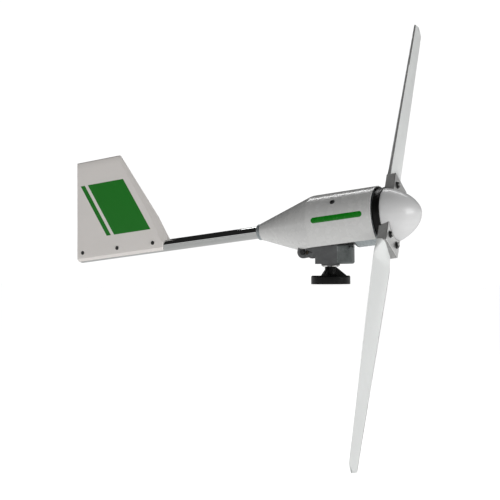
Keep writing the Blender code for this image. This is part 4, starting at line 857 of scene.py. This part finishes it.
def hub():
    """Cast hub bar, a clamp face on each arm made near-white as painted light, and the clamp's parting line.
    """
    low, high = box_in("blade_hub", ROTOR)
    split = 0.0024
    groove, cut_depth = 0.0006, 0.0008
    bar = block(low, (high.x - split - groove, high.y, high.z))
    bolts = [middle(f"blade_bolt_{number}", ROTOR) for number in range(1, 5)]
    piece("hub_bar", carved(bar, [moved(rod(SHAFT_HOLE, -1, 1), ALONG_X)]), "rotor", "hub_casting", ROTOR,
          ("blade_hub",), edge=CAST_EDGE)
    core = block((high.x - split - groove - 0.0001, low.y + cut_depth, low.z + cut_depth),
                 (high.x - split + 0.0001, high.y - cut_depth, high.z - cut_depth))
    piece("hub_joint", carved(core, [moved(rod(SHAFT_HOLE, -1, 1), ALONG_X)]), "rotor", "black_casting",
          ROTOR)
    clamp = block((high.x - split, low.y, 0.040), high)
    # The clamp faces get the near-white finish, paler than the hub's sides: painted light on the front faces.
    for number, turn in enumerate((Matrix(), HALF_TURN), start=1):
        piece(f"clamp_face_{number}", clamp.copy(), "rotor", "hub_casting", ROTOR @ turn, edge=EDGE,
              material=PAINTED_LIT_FACE)
    for number, spot in enumerate(bolts, start=1):
        seat = ROTOR @ at(high.x, spot.y, spot.z) @ ALONG_X @ Matrix.Rotation(0.35 * number, 4, "Z")
        bolt(f"blade_bolt_{number}", "rotor", "dark_steel", seat, 0.0092, 0.0078, 0.0134,
             f"blade_bolt_{number}", BOLT_TOP_HIGHLIGHT)


def chord_line(node):
    """The blade's stations: radius, then leading and trailing points (axial, across) of each."""
    shape = points_in(node, ROTOR if node == "blade_1" else BLADE_FRAMES[1])
    reach = box_in("blade_hub", ROTOR)[1].z
    shape = shape[shape[:, 2].argsort()]
    stations = []
    for ring in np.split(shape, np.flatnonzero(np.diff(shape[:, 2]) > 0.01) + 1):
        radial = ring[:, 2].mean()
        if reach + 0.01 < radial < 0.9:
            lead, trail = ring[ring[:, 1].argmin()], ring[ring[:, 1].argmax()]
            stations.append((radial, lead[0], lead[1], trail[0], trail[1]))
    return np.array(stations)


def section_half(step, share=0.13):
    """Half thickness of a unit aerofoil section."""
    return 5 * share * (0.2969 * sqrt(step) - 0.1260 * step - 0.3516 * step ** 2
                        + 0.2843 * step ** 3 - 0.1036 * step ** 4)


def smooth(low, high, value):
    share = min(1.0, max(0.0, (value - low) / (high - low)))
    return share * share * (3 - 2 * share)


def blade(number, matrix):
    """One blade: smooth aerofoil that swells into a thick root block, shallow peaked tip."""
    node = f"blade_{number}"
    line = chord_line(node)
    reach = box_in("blade_hub", ROTOR)[1].z
    tip = points_in(node, matrix)[:, 2].max()
    hub_low, hub_high = box_in("blade_hub", ROTOR)
    steps = [0.5 * (1 - cos(pi * k / 30)) for k in range(31)]
    radials = [reach - 0.004 + (tip - 0.0105 - reach + 0.004) * (k / 70) ** 1.25 for k in range(71)]
    fit = [np.polyfit(line[:, 0], line[:, k], 1) for k in range(1, 5)]
    rings = []
    for radial in radials:
        lead_x, lead_y, trail_x, trail_y = (np.polyval(f, radial) for f in fit)
        grown = smooth(reach - 0.02, reach + 0.075, radial)
        inset = 1 - ROOT_INSET * (1 - grown)
        middle_y = (lead_y + trail_y) / 2
        lead = Vector((lead_x, middle_y + (lead_y - middle_y) * inset))
        trail = Vector((trail_x, middle_y + (trail_y - middle_y) * inset))
        chord = (trail - lead).length
        ring = []
        path = [(step, -1) for step in steps] + [(step, 1) for step in steps[-2:0:-1]]
        for step, side in path:
            share = 1.2 if side < 0 else 0.8
            depth = side * share * section_half(step) * chord
            along = lead.lerp(trail, step)
            x = along.x + depth
            thick_low = hub_low.x + 0.0012
            thick_high = hub_low.x + 0.012 + (hub_high.x - 0.005 - hub_low.x - 0.012) * smooth(0.0, 1.0, step)
            rim = sqrt(max(0.0, 1 - (2 * abs(step - 0.5)) ** 12))
            root_x = thick_low + (thick_high - thick_low) * rim * (side > 0)
            x = root_x + (x - root_x) * grown
            end = radial
            if radial == radials[-1]:
                end = tip - 0.0005 - abs(step - 0.45) * (0.040 if step < 0.45 else 0.026)
            ring.append(Vector((x, along.y, end)))
        rings.append(ring)
    last = rings[-1]
    core = sum(last, Vector()) / len(last)
    for shrink, drop in ((0.90, 0.0018), (0.60, 0.0028)):
        rings.append([Vector((core.x + (p.x - core.x) * shrink, core.y + (p.y - core.y) * (0.5 + shrink / 2),
                              p.z + drop * 0.2)) for p in last])
    mesh = lofted(rings)
    for face in mesh.polygons:
        edge_y, far_y = (np.polyval(fit[k], face.center.z) for k in (1, 3))
        grown = smooth(reach - 0.02, reach + 0.075, face.center.z)
        inset = ROOT_INSET * (1 - grown) * (far_y - edge_y) / 2
        # Faces along the leading edge within the strip's width take the second finish, a strip of painted
        # shade.
        if face.center.y < edge_y + inset + SHADE_STRIP_WIDTH and face.index % len(path) >= len(steps) - 1:
            face.material_index = 1
    piece(f"rotor_blade_{number}", mesh, "rotor", "blade_white", matrix, (node,), sharp=50, second=LEADING_EDGE_SHADE)


def nose_cone():
    """Spinner: a smooth thin shell, notched for the hub's arms, with a rounded rim."""
    low, high = box_in("spinner", ROTOR)
    radius, rim, nose = high.z, low.x, high.x
    wall, count = 0.003, 48

    def skin(scale, end, start):
        places = [start + (end - start) * sin(pi / 2 * i / count) for i in range(count + 1)]
        return [(radius * scale * max(0.0, 1 - ((x - rim) / (end - rim)) ** 1.5) ** 0.55, x) for x in places]

    outer = skin(1.0, nose, rim + 0.001)
    inner = skin(1 - wall / radius, nose - wall, rim + 0.001)
    mid = radius - wall / 2
    lip = [(mid + wall / 2 * cos(a), rim + 0.001 - 0.001 * sin(a)) for a in np.linspace(pi, 0, 7)][1:-1]
    profile = inner[::-1] + lip + outer
    mesh = moved(turned(profile, 192, closed=False), ALONG_X)
    hub_low, hub_high = box_in("blade_hub", ROTOR)
    half = hub_high.y + 0.0008
    notch = block((rim - 0.01, -half, hub_low.z), (hub_high.x + 0.0008, half, hub_high.z))
    piece("nose_cone", carved(mesh, [notch]), "rotor", "spinner_white", ROTOR, ("spinner",), edge=0.0005,
          sharp=30)


# ---------------------------------------------------------------- build

mast_flange()
yaw_block()
brush_cover()
bearing_cover()
hinge_hardware()
hood()
alternator_case()
boom()
tail_vane()
back_plate()
hub()
for index, place in enumerate(BLADE_FRAMES, start=1):
    blade(index, place)
nose_cone()

for node in NODES.values():
    node.data.materials[0] = FINISH[node.data.materials[0].name.split(".")[0]]

cradle = NODES["tilt_cradle"]
weld = cradle.modifiers.new("weld", "WELD")
weld.merge_threshold = 0.00002
bevel = cradle.modifiers.new("edges", "BEVEL")
bevel.width = 0.0010
bevel.segments = 2
bevel.limit_method = "ANGLE"
bevel.angle_limit = radians(35)


# ---------------------------------------------------------------- stage, light and camera

FLOOR_LEVEL = CAD_BOX[0].z - 0.03


def floor_plane():
    """A plain pale floor under the whole machine."""
    mesh = bpy.data.meshes.new("floor")
    size = 40.0
    mesh.from_pydata([(-size, -size, FLOOR_LEVEL), (size, -size, FLOOR_LEVEL), (size, size, FLOOR_LEVEL),
                      (-size, size, FLOOR_LEVEL)], [], [(0, 1, 2, 3)])
    floor = bpy.data.objects.new("floor", mesh)
    bpy.context.scene.collection.objects.link(floor)
    nodes = Nodes("floor_paint")
    tone = nodes.mix(nodes.ramp(nodes.noise(1.5), 0.3, 0.7), (0.90, 0.90, 0.90), (0.93, 0.93, 0.93))
    nodes.set(tone, 0.9, 0.0, 0.0, 0.1)
    path = nodes.tree.nodes.new("ShaderNodeLightPath").outputs
    seen = nodes.ramp(path["Is Camera Ray"], 0.0, 1.0, 0.0, 0.25)
    mirrored = nodes.ramp(path["Is Glossy Ray"], 0.0, 1.0, 0.72, 0.36)
    nodes.shader.inputs["Emission Color"].default_value = (1, 1, 1, 1)
    nodes.link(nodes.math("ADD", seen, mirrored), nodes.shader.inputs["Emission Strength"])
    mesh.materials.append(nodes.material)


def studio_world():
    """White behind the camera's view; for light and reflections, a bright horizon and a dim sky."""
    world = bpy.data.worlds.new("studio")
    bpy.context.scene.world = world
    world.use_nodes = True
    tree = world.node_tree
    tree.nodes.clear()
    output = tree.nodes.new("ShaderNodeOutputWorld")
    mixed = tree.nodes.new("ShaderNodeMixShader")
    sky = tree.nodes.new("ShaderNodeBackground")
    white = tree.nodes.new("ShaderNodeBackground")
    path = tree.nodes.new("ShaderNodeLightPath")
    where = tree.nodes.new("ShaderNodeTexCoord")
    split = tree.nodes.new("ShaderNodeSeparateXYZ")
    ramp = tree.nodes.new("ShaderNodeValToRGB")
    tree.links.new(where.outputs["Generated"], split.inputs[0])
    tree.links.new(split.outputs["Z"], ramp.inputs[0])
    for stop, position, grey in zip(ramp.color_ramp.elements, (0.07, 0.15), (1.0, 0.02)):
        stop.position = position
        stop.color = (grey, grey, grey, 1)
    tree.links.new(ramp.outputs[0], sky.inputs["Color"])
    sky.inputs["Strength"].default_value = 1.0
    white.inputs["Color"].default_value = (1, 1, 1, 1)
    white.inputs["Strength"].default_value = 1.05
    tree.links.new(path.outputs["Is Camera Ray"], mixed.inputs[0])
    tree.links.new(sky.outputs[0], mixed.inputs[1])
    tree.links.new(white.outputs[0], mixed.inputs[2])
    tree.links.new(mixed.outputs[0], output.inputs[0])


def softbox(name, target, azimuth, elevation, distance, size, power, glossy=True):
    """A square area light aimed at a point; azimuth 0 is on the -Y side and 90 on the +X side."""
    a, e = radians(azimuth), radians(elevation)
    way = Vector((sin(a) * cos(e), -cos(a) * cos(e), sin(e)))
    light = bpy.data.lights.new(name, "AREA")
    light.energy = power
    light.shape = "RECTANGLE"
    light.size, light.size_y = size
    made = bpy.data.objects.new(name, light)
    bpy.context.scene.collection.objects.link(made)
    made.location = target + way * distance
    made.rotation_mode = "QUATERNION"
    made.rotation_quaternion = way.to_track_quat("Z", "Y")
    made.visible_glossy = glossy


def camera():
    """A long lens a little below the rotor axis, looking along the vane's side."""
    azimuth, elevation, roll = radians(28.25), radians(-1.19), radians(-0.30)
    back = Vector((sin(azimuth) * cos(elevation), -cos(azimuth) * cos(elevation), sin(elevation)))
    right = Vector((cos(azimuth), sin(azimuth), 0))
    up = back.cross(right)
    x_axis = cos(roll) * right + sin(roll) * up
    y_axis = -sin(roll) * right + cos(roll) * up
    lens = bpy.data.cameras.new("camera")
    lens.lens, lens.sensor_width = 72.0, 36.0
    made = bpy.data.objects.new("camera", lens)
    bpy.context.scene.collection.objects.link(made)
    turn = Matrix((x_axis, y_axis, back)).transposed().to_4x4()
    made.matrix_world = Matrix.Translation((1.5084, -3.4450, 0.0517)) @ turn
    bpy.context.scene.camera = made


floor_plane()
studio_world()
softbox("key", HUB_POINT, 75, 12, 3.0, (1.2, 1.2), 36)
softbox("overhead", HUB_POINT + Vector((-0.3, 0, 0)), 190, 58, 2.6, (2.8, 0.35), 24)
softbox("tail_fill", middle("tail_vane_right"), 350, -6, 3.0, (1.4, 1.4), 9, glossy=False)
camera()
bpy.context.scene.view_settings.view_transform = "Standard"
